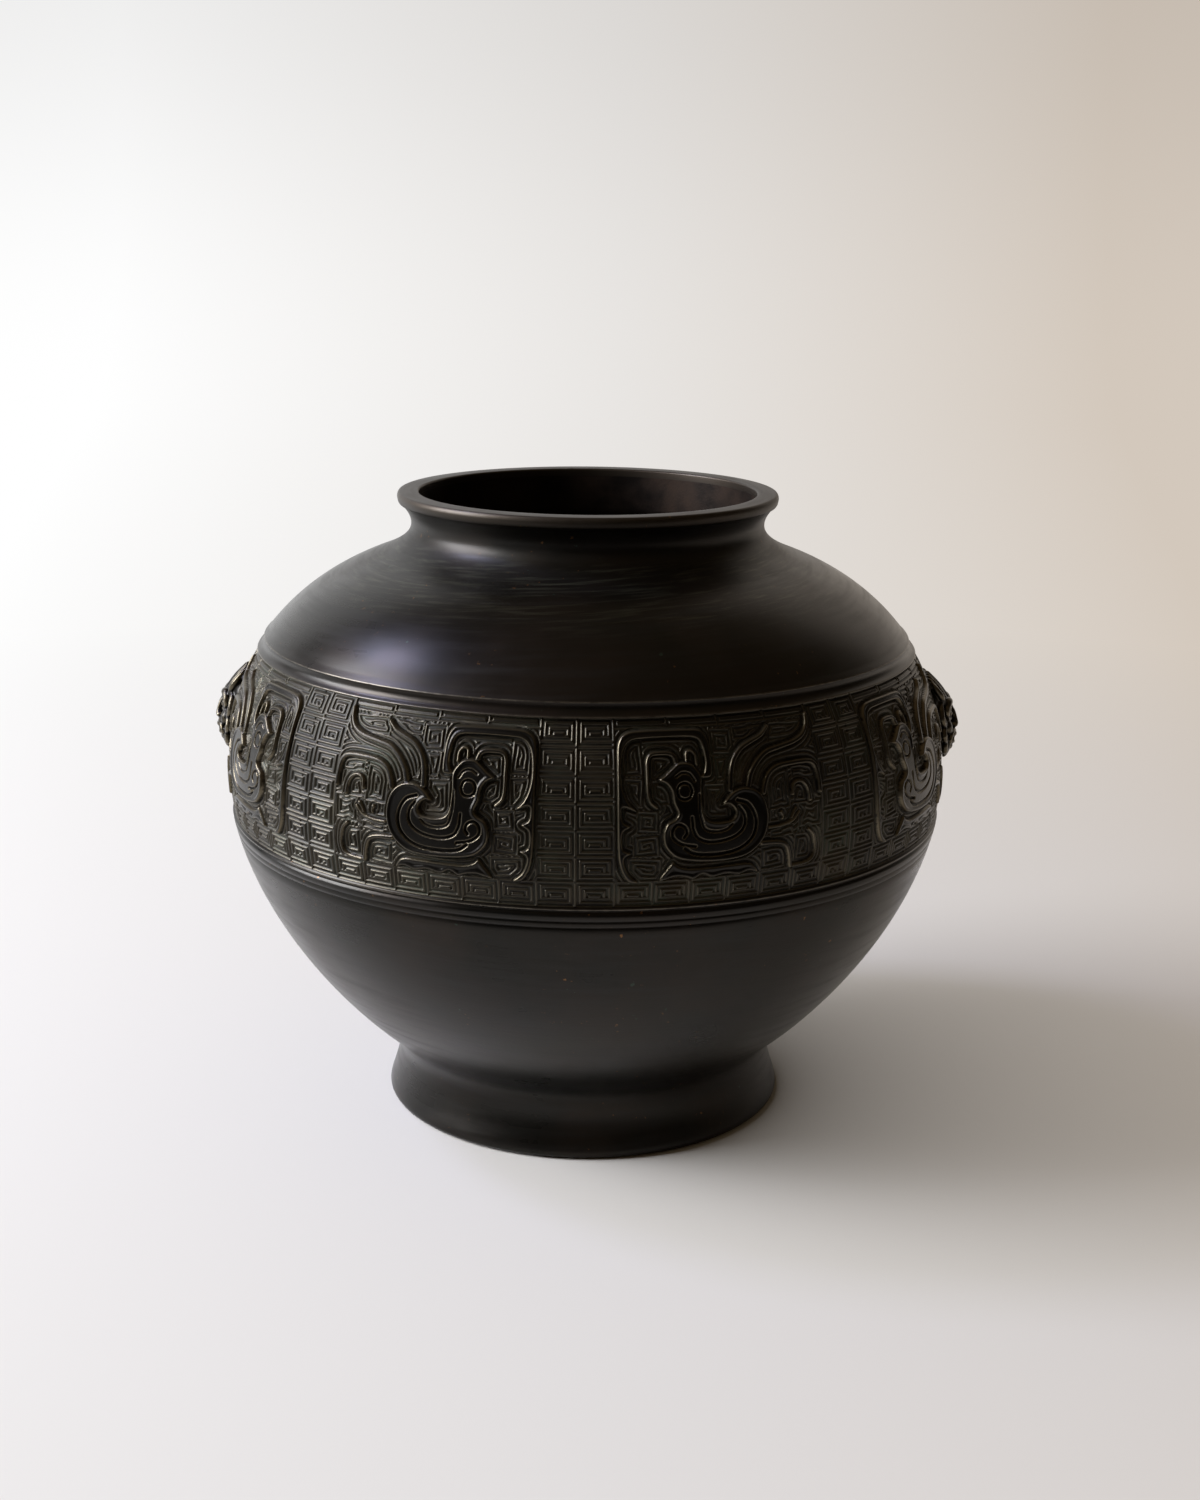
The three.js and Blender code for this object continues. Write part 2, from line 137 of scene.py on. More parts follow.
def fade(value: Array, low: float, high: float) -> Array:
    """Rises smoothly from 0 at low to 1 at high."""
    t = np.clip((value - low) / (high - low), 0, 1)
    return t * t * (3 - 2 * t)


def linked(name: str, data: bpy.types.ID) -> bpy.types.Object:
    """Makes an object in the scene.

    Args:
        name: Its name.
        data: Its mesh, light or camera.

    Returns:
        The object.
    """
    item = bpy.data.objects.new(name, data)
    bpy.context.collection.objects.link(item)
    return item


def mesh_piece(name: str, spots: Array, *groups: Array) -> Piece:
    """Makes a mesh object from points in mm.

    Args:
        name: The piece's name.
        spots: Points, one row each.
        *groups: Corner numbers, one row for each face, each group with faces of one size.

    Returns:
        The linked object, smooth shaded.
    """
    corners = np.concatenate([group.ravel() for group in groups]).astype(np.int32)
    sizes = np.concatenate([np.full(len(group), group.shape[1]) for group in groups])
    mesh = bpy.data.meshes.new(name)
    mesh.vertices.add(len(spots))
    mesh.vertices.foreach_set("co", (spots * MM).astype(np.float32).ravel())
    mesh.loops.add(len(corners))
    mesh.loops.foreach_set("vertex_index", corners)
    mesh.polygons.add(len(sizes))
    mesh.polygons.foreach_set("loop_start", (np.cumsum(sizes) - sizes).astype(np.int32))
    mesh.polygons.foreach_set("use_smooth", np.ones(len(sizes), bool))
    mesh.update(calc_edges=True)
    return linked(name, mesh)


def read_points(mesh: bpy.types.Mesh, name: str) -> Array:
    """Reads the places or the normals of a mesh's points.

    Args:
        mesh: The mesh.
        name: Either "co" or "normal".

    Returns:
        Three numbers for each point.
    """
    flat = np.empty(len(mesh.vertices) * 3, np.float32)
    mesh.vertices.foreach_get(name, flat)
    return flat.reshape(-1, 3)


def carry(mesh: bpy.types.Mesh, name: str, values: Array) -> None:
    """Stores one number for each point, for the material to read.

    Args:
        mesh: The mesh.
        name: The name that the material asks for.
        values: Numbers for its first points. All others get 0.
    """
    stored = np.zeros(len(mesh.vertices), np.float32)
    stored[:values.size] = values.ravel()
    mesh.attributes.new(name, "FLOAT", "POINT").data.foreach_set("value", stored)


def turned_about_z(spots: Array, angle: float) -> Array:
    """Turns places, one row each, about the +Z axis by an angle in radians."""
    cosine, sine = math.cos(angle), math.sin(angle)
    return np.stack([spots[:, 0] * cosine - spots[:, 1] * sine,
                     spots[:, 0] * sine + spots[:, 1] * cosine, spots[:, 2]], -1)


def grid_faces(rows: int, columns: int, wrap_columns: bool = False,
               wrap_rows: bool = False) -> Array:
    """Numbers the faces of a grid of points that is stored row after row.

    Args:
        rows: Number of rows of points.
        columns: Number of points in a row.
        wrap_columns: Whether each row closes on itself.
        wrap_rows: Whether the last row joins the first.

    Returns:
        Four corner numbers for each face.
    """
    row = np.arange(rows if wrap_rows else rows - 1)[:, None]
    column = np.arange(columns if wrap_columns else columns - 1)[None, :]
    next_row = (row + 1) % rows
    next_column = (column + 1) % columns
    corners = [row * columns + column, row * columns + next_column,
               next_row * columns + next_column, next_row * columns + column]
    return np.stack([np.broadcast_to(c, (row.size, column.size)) for c in corners], -1).reshape(-1, 4)


def give_bake_map(piece: Piece, across: Array, up: Array) -> None:
    """Gives a piece the texture map of its own grid, two numbers from 0 to 1 for each corner."""
    layer = piece.data.uv_layers.new(name=BAKE_MAP, do_init=False)
    layer.uv.foreach_set("vector", np.stack([across, up], -1).astype(np.float32).ravel())


def spun(name: str, profile: Array, segments: int) -> Piece:
    """Spins a closed profile of (radius, height) points about +Z.

    Args:
        name: The piece's name.
        profile: Points with the metal on their left, going up the outside.
        segments: Steps round the axis.

    Returns:
        The object.
    """
    angle = np.arange(segments) * 2 * math.pi / segments
    radius, height = profile[:, :1], profile[:, 1:]
    spots = np.stack([radius * np.cos(angle), radius * np.sin(angle),
                      np.broadcast_to(height, (len(profile), segments))], -1)
    faces = grid_faces(len(profile), segments, wrap_columns=True, wrap_rows=True)
    piece = mesh_piece(name, spots.reshape(-1, 3), faces)
    rows = len(profile)
    row = np.repeat(np.arange(rows), segments)
    column = np.tile(np.arange(segments), rows)
    across = (column[:, None] + np.array([0, 1, 1, 0])) / segments
    up = (row[:, None] + np.array([0, 0, 1, 1])) / rows
    give_bake_map(piece, across.ravel(), up.ravel())
    return piece


# Shading

def linear(colour: str) -> tuple[float, float, float, float]:
    """Turns an sRGB hex colour into the linear one that shaders take."""
    parts = [int(colour[i:i + 2], 16) / 255 for i in (1, 3, 5)]
    return (*[p / 12.92 if p <= 0.04045 else ((p + 0.055) / 1.055) ** 2.4 for p in parts], 1.0)


def add_node(tree: bpy.types.NodeTree, kind: str, inputs: dict | None = None,
             out: int | str = 0, **settings) -> Socket | None:
    """Adds a node with its settings, values and links.

    Args:
        tree: The node tree of a material or of the world.
        kind: The node's type.
        inputs: Socket names or numbers, each with a value or with a socket to link.
        out: Name or number of the output that is wanted.
        **settings: Properties of the node.

    Returns:
        That output, or None on a node that has no outputs.
    """
    node = tree.nodes.new(kind)
    for name, value in settings.items():
        setattr(node, name, value)
    for name, value in (inputs or {}).items():
        if isinstance(value, Socket):
            tree.links.new(value, node.inputs[name])
        else:
            node.inputs[name].default_value = value
    return node.outputs[out] if node.outputs else None


@dataclass(frozen=True)
class Patches:
    """A cloudy pattern: patch size in mm, noise levels where it begins and is full, its octaves."""

    size: float
    low: float = 0.3
    high: float = 0.7
    detail: float = 2.0
    roughness: float = 0.55


@dataclass(frozen=True)
class Tint:
    """A colour that lies over others, and how much of them it covers."""

    colour: str
    cover: float = 1.0


@dataclass
class Shading:
    """A material under construction, with the vase's places in mm at hand."""

    name: str

    def __post_init__(self) -> None:
        """Makes the empty material and its coordinates."""
        self.material = bpy.data.materials.new(self.name)
        self.material.use_nodes = True
        self.material.node_tree.nodes.clear()
        self.node = partial(add_node, self.material.node_tree)
        place = self.node("ShaderNodeTexCoord", out="Object")
        self.place = self.node("ShaderNodeVectorMath", {0: place, 1: (1 / MM,) * 3},
                               operation="MULTIPLY")

    def patches(self, pattern: Patches, place: Socket | None = None,
                within: Socket | None = None, least: float = 0.0) -> Socket:
        """Cloudy patches of a real size.

        Args:
            pattern: Their size and edges.
            place: Coordinates in mm, the object's own if left out.
            within: Share from 0 to 1 that the patches are kept to.
            least: Share that is left between the patches.

        Returns:
            The socket that gives the patches' share.
        """
        noise = self.node("ShaderNodeTexNoise", {
            "Vector": place or self.place, "Scale": 1 / pattern.size,
            "Detail": pattern.detail, "Roughness": pattern.roughness})
        share = self.node("ShaderNodeMapRange", {
            "Value": noise, "From Min": pattern.low, "From Max": pattern.high, "To Min": least})
        if within is None:
            return share
        return self.node("ShaderNodeMath", {0: share, 1: within}, operation="MULTIPLY")

    def turned(self, along: float) -> Socket:
        """Coordinates that run in mm across the marks of turning, and slowly along them.

        Args:
            along: How fast they run round the vase.

        Returns:
            The socket of the coordinates.
        """
        flat = self.node("ShaderNodeVectorMath", {0: self.place, 1: (1, 1, 0)}, operation="MULTIPLY")
        radius = self.node("ShaderNodeVectorMath", {0: flat}, out="Value", operation="LENGTH")
        aside = self.node("ShaderNodeCombineXYZ", {0: radius})
        slow = self.node("ShaderNodeVectorMath", {0: self.place, 1: (along, along, 1)},
                         operation="MULTIPLY")
        return self.node("ShaderNodeVectorMath", {0: aside, 1: slow}, operation="ADD")

    def between(self, axis: tuple[float, float, float], start: float, end: float) -> Socket:
        """Share that rises smoothly from one place along an axis to another.

        Args:
            axis: Direction of the axis.
            start: Place in mm where the share is 0.
            end: Place in mm where it is 1.

        Returns:
            The socket that gives the share.
        """
        along = self.node("ShaderNodeVectorMath", {0: self.place, 1: axis}, out="Value",
                          operation="DOT_PRODUCT")
        return self.node("ShaderNodeMapRange", {
            "Value": along, "From Min": start, "From Max": end}, interpolation_type="SMOOTHSTEP")

    def painted(self, base: str, *layers: tuple[Socket, Tint]) -> Socket:
        """Lays colours over each other, as patina, dirt and wear lie on the metal.

        Args:
            base: The lowest colour.
            *layers: For each further layer its share from 0 to 1, and its tint.

        Returns:
            The socket of the colour that shows.
        """
        colour = linear(base)
        for share, tint in layers:
            part = self.node("ShaderNodeMath", {0: share, 1: tint.cover}, operation="MULTIPLY")
            colour = self.node("ShaderNodeMix", {0: part, 6: colour, 7: linear(tint.colour)}, out=2,
                               data_type="RGBA")
        return colour

    def finish(self, colour: Socket, dull: Socket, roughness: Pair,
               metallic: float | Socket, bumps: tuple[tuple[Socket, float, float], ...],
               wax: Pair = (0.0, 0.3)) -> Material:
        """Ends the material in its shader.

        Args:
            colour: Socket of the surface's colour.
            dull: Share from 0 to 1 of the duller roughness.
            roughness: The roughness of the glossiest and of the dullest places.
            metallic: Share of bare metal in the look.
            bumps: Relief too fine for the mesh: its height, its depth in mm and its strength.
            wax: Weight and roughness of the wax over it.

        Returns:
            The material.
        """
        gloss = self.node("ShaderNodeMapRange", {
            "Value": dull, "To Min": roughness[0], "To Max": roughness[1]})
        inputs = {"Base Color": colour, "Roughness": gloss, "Metallic": metallic,
                  "Coat Weight": wax[0], "Coat Roughness": wax[1]}
        for height, depth, strength in bumps:
            bump = {"Height": height, "Distance": depth * MM, "Strength": strength}
            if "Normal" in inputs:
                bump["Normal"] = inputs["Normal"]
            inputs["Normal"] = self.node("ShaderNodeBump", bump)
        shader = self.node("ShaderNodeBsdfPrincipled", inputs)
        self.node("ShaderNodeOutputMaterial", {"Surface": shader})
        return self.material


@dataclass(frozen=True)
class PatinatedBronze:
    """Cast bronze, turned smooth, blackened with a brown-black patina and waxed.

    The patina is a thin dark skin, so the metal under it gives a soft satin gleam and hardly any
    colour. Fine rings are left by the turning, the skin is cloudy with a few specks, and below the
    neck it is rubbed through in pale greenish streaks. Rings and grain are drawn coarser than a
    lathe and a mould leave them, so that they show.
    """

    name: str = "patinated_bronze"
    dark: str = "#191712"
    brown: Tint = Tint("#251e17")
    cool: Tint = Tint("#252421", 0.45)
    lip: Tint = Tint("#3a3127", 0.7)
    streak: Tint = Tint("#5a5b4c", 0.5)
    speck_brown: Tint = Tint("#6a4a2a")
    speck_green: Tint = Tint("#40584a")
    rubbed: Tint = Tint("#6f685b", 0.7)
    roughness: Pair = (0.27, 0.58)
    metallic: float = 0.85
    clouds: Patches = Patches(46.0, 0.38, 0.66, 4.0)
    smears: Patches = Patches(3.3, 0.45, 0.72, 4.0)
    rings: Patches = Patches(0.55)
    grain: Patches = Patches(0.8)
    streaks: Patches = Patches(1.375, 0.50, 0.72, 4.0)
    speck_groups: Patches = Patches(38.0, 0.5, 0.62, 1.0)
    brown_specks: Patches = Patches(2.6, 0.70, 0.76)
    green_specks: Patches = Patches(4.42, 0.715, 0.76, 3.0)
    rubs: Patches = Patches(4.0, 0.30, 0.55, 3.0)
    least_rub: float = 0.35
    smear_run: float = 0.10
    ring_run: float = 0.012
    streak_run: float = 0.13
    ring_depth: float = 0.012
    grain_depth: float = 0.018
    bump_strength: float = 0.5
    cloud_dull: float = 0.25
    neck_dull: float = 0.5
    streak_rise: Pair = (204.0, 220.0)
    streak_fall: Pair = (-229.0, -223.0)
    neck_heights: Pair = (212.0, 226.0)
    lip_heights: Pair = (238.0, 243.0)
    wax: Pair = (0.18, 0.3)

    def make(self) -> Material:
        """Builds the material from the wear values that the casting carries.

        Returns:
            The material.
        """
        look = Shading(self.name)
        worn = look.node("ShaderNodeAttribute", out="Fac", attribute_name="worn")
        rubbed = look.patches(self.rubs, within=worn, least=self.least_rub)
        clouds = look.patches(self.clouds)
        smears = look.patches(self.smears, look.turned(self.smear_run))
        rings = look.patches(self.rings, look.turned(self.ring_run))
        grain = look.patches(self.grain)
        groups = look.patches(self.speck_groups)
        by_neck = look.node("ShaderNodeMath", {
            0: look.between((0, 0, 1), *self.streak_rise),
            1: look.between((0, 0, -1), *self.streak_fall)}, operation="MULTIPLY")
        colour = look.painted(
            self.dark,
            (clouds, self.brown),
            (smears, self.cool),
            (look.patches(self.streaks, look.turned(self.streak_run), by_neck), self.streak),
            (look.between((0, 0, 1), *self.lip_heights), self.lip),
            (look.patches(self.brown_specks, within=groups), self.speck_brown),
            (look.patches(self.green_specks, within=groups), self.speck_green),
            (rubbed, self.rubbed))
        uneven = look.node("ShaderNodeMath", {0: smears, 1: clouds}, operation="ADD")
        neck = look.between((0, 0, 1), *self.neck_heights)
        parts = [look.node("ShaderNodeMath", {0: share, 1: weight}, operation="MULTIPLY")
                 for share, weight in ((uneven, self.cloud_dull), (neck, self.neck_dull))]
        dull = look.node("ShaderNodeMath", {0: parts[0], 1: parts[1]})
        bumps = ((rings, self.ring_depth, self.bump_strength),
                 (grain, self.grain_depth, self.bump_strength))
        return look.finish(colour, dull, self.roughness, self.metallic, bumps, self.wax)


@dataclass(frozen=True)
class ReliefBronze:
    """The same bronze in the relief, crusted in its hollows, with painted shade in them and a light line on
    its sharp edges that is partly rubbed wear and partly painted highlight.

    Wax, dust and a little verdigris stay in the hollows and give them a dull ochre-green, and the ground is
    painted darker than the raised tops as painted shade. Handling keeps the tops of the threads smooth, so
    they catch the light. The mould's grit is drawn coarse enough to show.
    """

    name: str = "relief_bronze"
    # The ground is darker than the raised tops: painted shade in the hollows.
    ground: str = "#13110d"
    top: Tint = Tint("#1b1813")
    ochre: Tint = Tint("#463c26", 0.8)
    green: Tint = Tint("#30392b", 0.85)
    # edge: a light line on sharp edges, partly rubbed wear and partly painted highlight.
    edge: Tint = Tint("#766c57", 0.75)
    roughness: Pair = (0.29, 0.62)
    metallic: Pair = (0.85, 0.45)
    hollow_heights: Pair = (0.3, 0.02)
    raised_heights: Pair = (0.04, 0.24)
    crust: Patches = Patches(30.0, 0.46, 0.68, 4.0)
    least_crust: float = 0.2
    verdigris: Patches = Patches(11.0, 0.4, 0.6, 3.0)
    grit: Patches = Patches(0.7, 0.25, 0.75, 3.0)
    grit_depth: float = 0.07
    grit_strength: float = 0.6
    wax: Pair = (0.14, 0.35)

    def make(self) -> Material:
        """Builds the material from the height values and the edge-line values, partly wear and partly
        painted highlight, that the meshes carry.

        Returns:
            The material.
        """
        look = Shading(self.name)
        height, worn = [look.node("ShaderNodeAttribute", out="Fac", attribute_name=name)
                        for name in ("height", "worn")]
        hollow, raised = [look.node("ShaderNodeMapRange", {
            "Value": height, "From Min": start, "From Max": end})
            for start, end in (self.hollow_heights, self.raised_heights)]
        crust = look.patches(self.crust, within=hollow, least=self.least_crust)
        # The raised tops are lighter than the ground, which carries painted shade in the hollows; the ochre
        # and green crust is patina.
        colour = look.painted(
            self.ground,
            (raised, self.top),
            (crust, self.ochre),
            (look.patches(self.verdigris, within=crust), self.green),
            (worn, self.edge))
        bare = look.node("ShaderNodeMapRange", {
            "Value": hollow, "To Min": self.metallic[0], "To Max": self.metallic[1]})
        bumps = ((look.patches(self.grit), self.grit_depth, self.grit_strength),)
        return look.finish(colour, hollow, self.roughness, bare, bumps, self.wax)


@dataclass(frozen=True)
class PlainMetal:
    """Bronze or solder that was never patinated on purpose and dulled by itself.

    Its skin is matt and slightly cloudy. The grain shows how it was worked: fine circles where it
    was turned, a soft unevenness where it was hammered, cast or run on as solder.
    """

    name: str
    dark: str = "#35291f"
    light: Tint = Tint("#4d3d2f")
    roughness: Pair = (0.45, 0.62)
    metallic: float = 0.85
    clouds: Patches = Patches(14.0, 0.35, 0.65, 4.0)
    grain: Patches = Patches(0.6)
    grain_depth: float = 0.03
    grain_strength: float = 0.6
    turned: bool = False
    ring_run: float = 0.01

    def make(self) -> Material:
        """Builds the material.

        Returns:
            The material.
        """
        look = Shading(self.name)
        clouds = look.patches(self.clouds)
        grain = look.patches(self.grain, look.turned(self.ring_run) if self.turned else None)
        return look.finish(look.painted(self.dark, (clouds, self.light)), clouds, self.roughness,
                           self.metallic, ((grain, self.grain_depth, self.grain_strength),))


# The outline of the casting

@dataclass(frozen=True)
class VaseOutline:
    """The casting's outline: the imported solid's, but for the foot's soft waist and slim flare."""

    height: float = 244.0
    belly_radius: float = 141.0
    belly_height: float = 138.0
    wall: float = 3.0
    foot_base_radius: float = 75.5
    foot_flare_radius: float = 79.3
    foot_flare_height: float = 2.4
    foot_flare_reach: float = 1.2
    foot_handle: float = 3.5
    foot_tilt: float = 16.5
    foot_edge_round: float = 0.2
    foot_inner_radius: float = 69.5
    waist_radius: float = 72.0
    waist_height: float = 23.5
    waist_start: float = 10.5
    waist_handle: float = 10.0
    foot_steps: tuple[int, int, int] = (8, 10, 16)
    bowl_steps: int = 60
    soft_steps: int = 7
    bowl_rise_angle: float = 33.0
    bowl_reaches: Pair = (35.0, 46.0)
    shoulder_reaches: Pair = (46.0, 29.5)
    shoulder_fall_angle: float = 20.5
    shoulder_end_radius: float = 84.0
    shoulder_end_drop: float = 25.0
    neck_radius: float = 68.2
    neck_drop: float = 12.3
    neck_steps: tuple[int, int] = (14, 12)
    lip_radius: float = 73.5
    lip_side_height: float = 4.5
    lip_taper: float = 1.4
    lip_crease: Line = ((0.7, 0.25), (1.1, 0.9))
    lip_edge_round: float = 1.2
    lip_edge_drop: float = 2.0
    mouth_radius: float = 65.2
    mouth_edge_round: float = 0.8
    corner_points: int = 9
    bore_top_drop: float = 3.0
    bore_round: float = 5.0
    bore_steps: int = 8
    inner_steps: int = 22
    sample_steps: int = 400
    probe: float = 0.5
    ledge_height: float = 13.0
    ledge_thickness: float = 3.2
    ledge_radius: float = 62.0

    @property
    def shoulder_end_height(self) -> float:
        """Height where the shoulder meets the root of the neck."""
        return self.height - self.shoulder_end_drop

    def bowl(self, steps: int) -> Array:
        """The curve from the waist to the belly.

        Args:
            steps: Number of spans.

        Returns:
            Its (radius, height) points.
        """
        angle = math.radians(self.bowl_rise_angle)
        start, end = self.bowl_reaches
        return bezier((
            (self.waist_radius, self.waist_height),
            (self.waist_radius + start * math.cos(angle), self.waist_height + start * math.sin(angle)),
            (self.belly_radius, self.belly_height - end),
            (self.belly_radius, self.belly_height)), steps)

    def shoulder(self, steps: int) -> Array:
        """The curve from the belly to the root of the neck.

        Args:
            steps: Number of spans.

        Returns:
            Its (radius, height) points.
        """
        angle = math.radians(self.shoulder_fall_angle)
        start, end = self.shoulder_reaches
        return bezier((
            (self.belly_radius, self.belly_height),
            (self.belly_radius, self.belly_height + start),
            (self.shoulder_end_radius + end * math.cos(angle),
             self.shoulder_end_height - end * math.sin(angle)),
            (self.shoulder_end_radius, self.shoulder_end_height)), steps)

    def samples(self) -> Array:
        """The whole wall from waist to neck in fine steps."""
        return np.vstack([self.bowl(self.sample_steps), self.shoulder(self.sample_steps)[1:]])

    def radius(self, height: Array) -> Array:
        """Outer radius of the plain wall at a height."""
        wall = self.samples()
        return np.interp(height, wall[:, 1], wall[:, 0])

    def tilt(self, height: float) -> float:
        """Angle by which the wall's outward normal rises above the horizontal."""
        low, high = self.radius(np.array([height - self.probe, height + self.probe]))
        return math.atan2(low - high, 2 * self.probe)

    def normal(self, height: Array) -> Array:
        """The wall's outward normal.

        Args:
            height: Heights above the foot.

        Returns:
            The normals as (radial, upward).
        """
        fall = self.radius(height - self.probe) - self.radius(height + self.probe)
        rise = 2 * self.probe
        length = np.hypot(rise, fall)
        return np.stack([rise / length, fall / length], -1)

    def inside(self, curve: Array) -> Array:
        """Moves a curve of the outline inwards by the wall's thickness.

        Args:
            curve: Its (radius, height) points, going up.

        Returns:
            The points of the inner face.
        """
        along = np.gradient(curve, axis=0)
        along /= np.linalg.norm(along, axis=1, keepdims=True)
        return curve + self.wall * np.stack([-along[:, 1], along[:, 0]], -1)

    def foot(self) -> Array:
        """The foot from its base edge over the flare and the soft waist into the bowl.

        Returns:
            Its (radius, height) points.
        """
        under_steps, flare_steps, waist_steps = self.foot_steps
        under = bezier((
            (self.foot_base_radius, 0.0),
            (self.foot_flare_radius, self.foot_edge_round),
            (self.foot_flare_radius, self.foot_flare_height)), under_steps)
        tilt = math.radians(self.foot_tilt)
        rise = np.array([-math.sin(tilt), math.cos(tilt)])
        tall = self.waist_start - self.foot_flare_height
        low = np.array([self.foot_flare_radius - tall * math.tan(tilt), self.waist_start])
        flare = bezier((
            (self.foot_flare_radius, self.foot_flare_height),
            (self.foot_flare_radius, self.foot_flare_height + self.foot_flare_reach),
            low - self.foot_handle * rise, low), flare_steps)
        start, after = self.bowl(self.bowl_steps)[self.soft_steps:self.soft_steps + 2]
        back = (start - after) / np.linalg.norm(start - after)
        waist = bezier((low, low + self.waist_handle * rise,
                        start + self.waist_handle * back, start), waist_steps)
        return np.vstack([under, flare[1:], waist[1:]])

    def neck(self) -> Array:
        """The neck, from the end of the shoulder up to the underside of the lip.

        Returns:
            Its (radius, height) points.
        """
        root_steps, rising_steps = self.neck_steps
        rise = ((self.shoulder_end_radius - self.neck_radius)
                * math.tan(math.radians(self.shoulder_fall_angle)))
        neck_height = self.height - self.neck_drop
        lip_under = self.height - self.lip_side_height
        root = bezier((
            (self.shoulder_end_radius, self.shoulder_end_height),
            (self.neck_radius, self.shoulder_end_height + rise),
            (self.neck_radius, neck_height)), root_steps)
        rising = bezier((
            (self.neck_radius, neck_height),
            (self.neck_radius, (neck_height + lip_under) / 2),
            (self.lip_radius - self.lip_taper, lip_under)), rising_steps)
        return np.vstack([root[1:], rising[1:]])

    def corner(self, radius: float, across: float, drop: float, start: float) -> Array:
        """A quarter round at the lip's top.

        Args:
            radius: How far its centre lies from the axis.
            across: Its width.
            drop: Its height.
            start: Angle in degrees where it starts.

        Returns:
            Its (radius, height) points.
        """
        angle = np.radians(np.linspace(start, start + 90, self.corner_points))
        return np.stack([radius + across * np.cos(angle),
                         self.height - drop + drop * np.sin(angle)], -1)

    def lip(self) -> Array:
        """The lip's side, its rounded edges and its flat top, ending in the mouth.

        Returns:
            Its (radius, height) points.
        """
        edge, mouth = self.lip_edge_round, self.mouth_edge_round
        under = np.array([self.lip_radius - self.lip_taper, self.height - self.lip_side_height])
        return np.vstack([
            under + np.array(self.lip_crease),
            self.corner(self.lip_radius - edge, edge, self.lip_edge_drop, 0),
            self.corner(self.mouth_radius + mouth, mouth, mouth, 90)])

    def bore(self) -> Array:
        """The bore of the neck, from under the mouth to where it rounds into the shoulder.

        Returns:
            Its (radius, height) points, going down.
        """
        end = self.inside(self.shoulder(self.inner_steps))[-1]
        slope = math.tan(math.radians(self.shoulder_fall_angle))
        foot = end[1] + (end[0] - self.mouth_radius) * slope
        turn = bezier((
            (self.mouth_radius, foot + self.bore_round),
            (self.mouth_radius, foot),
            (self.mouth_radius + self.bore_round, foot - self.bore_round * slope)), self.bore_steps)
        return np.vstack([[(self.mouth_radius, self.height - self.bore_top_drop)], turn])


@dataclass(frozen=True)
class BandLayout:
    """Heights of the relief band and of the mouldings that close it."""

    bottom: float = 121.4
    top: float = 184.6
    recess: float = 2.4
    border_stand: float = -0.15
    border_width: float = 1.1
    groove_depth: float = 0.7
    groove_width: float = 0.9
    fine_grooves: Pair = (113.6, 116.0)
    fine_groove_depth: float = 0.28
    fine_groove_width: float = 0.9
    fine_groove_floor: float = 0.3
    groove_slopes: Pair = (0.3, 0.2)
    border_round: float = 0.1
    border_slope: float = 0.25
    upper_border: tuple[float, ...] = (0.1, 0.3, 0.55)
    collar_foot: float = 0.8
    collar_edge: float = 189.3
    collar_low: float = -0.75
    collar_high: float = -0.4
    collar_lip: float = 0.3
    collar_rise: float = 0.35
    collar_flat: tuple[float, ...] = (0.0, 0.2, 0.5)
    collar_end: float = 1.6
    rubbed: tuple[float, float, float] = (120.4, 184.9, 189.5)
    rubbed_width: float = 0.2
    rubbed_reach: float = 1.5

    def moulding(self) -> tuple[Array, Array]:
        """Heights and stands off the plain wall of every edge round the band.

        Returns:
            The heights, rising, and the stands in mm.
        """
        foot_line = self.bottom - self.border_width
        spots = []
        for middle in self.fine_grooves:
            half = self.fine_groove_width / 2
            floor = half * self.fine_groove_floor
            spots += [(middle - half, 0.0), (middle - floor, -self.fine_groove_depth),
                      (middle + floor, -self.fine_groove_depth), (middle + half, 0.0)]
        spots += [
            (foot_line - self.groove_width - self.groove_slopes[0], 0.0),
            (foot_line - self.groove_width, -self.groove_depth),
            (foot_line - self.groove_slopes[1], -self.groove_depth),
            (foot_line, self.border_stand - self.border_round),
            (foot_line + self.border_slope, self.border_stand),
            (self.bottom - self.border_round, self.border_stand),
            (self.bottom, -self.recess),
            (self.top, -self.recess),
            *[(self.top + up, self.border_stand) for up in self.upper_border],
            (self.top + self.collar_foot, self.collar_low),
            (self.collar_edge - self.collar_rise, self.collar_high),
            *[(self.collar_edge + up, self.collar_lip) for up in self.collar_flat],
            (self.collar_edge + self.collar_end, 0.0)]
        heights, stands = zip(*spots)
        return np.array(heights), np.array(stands)


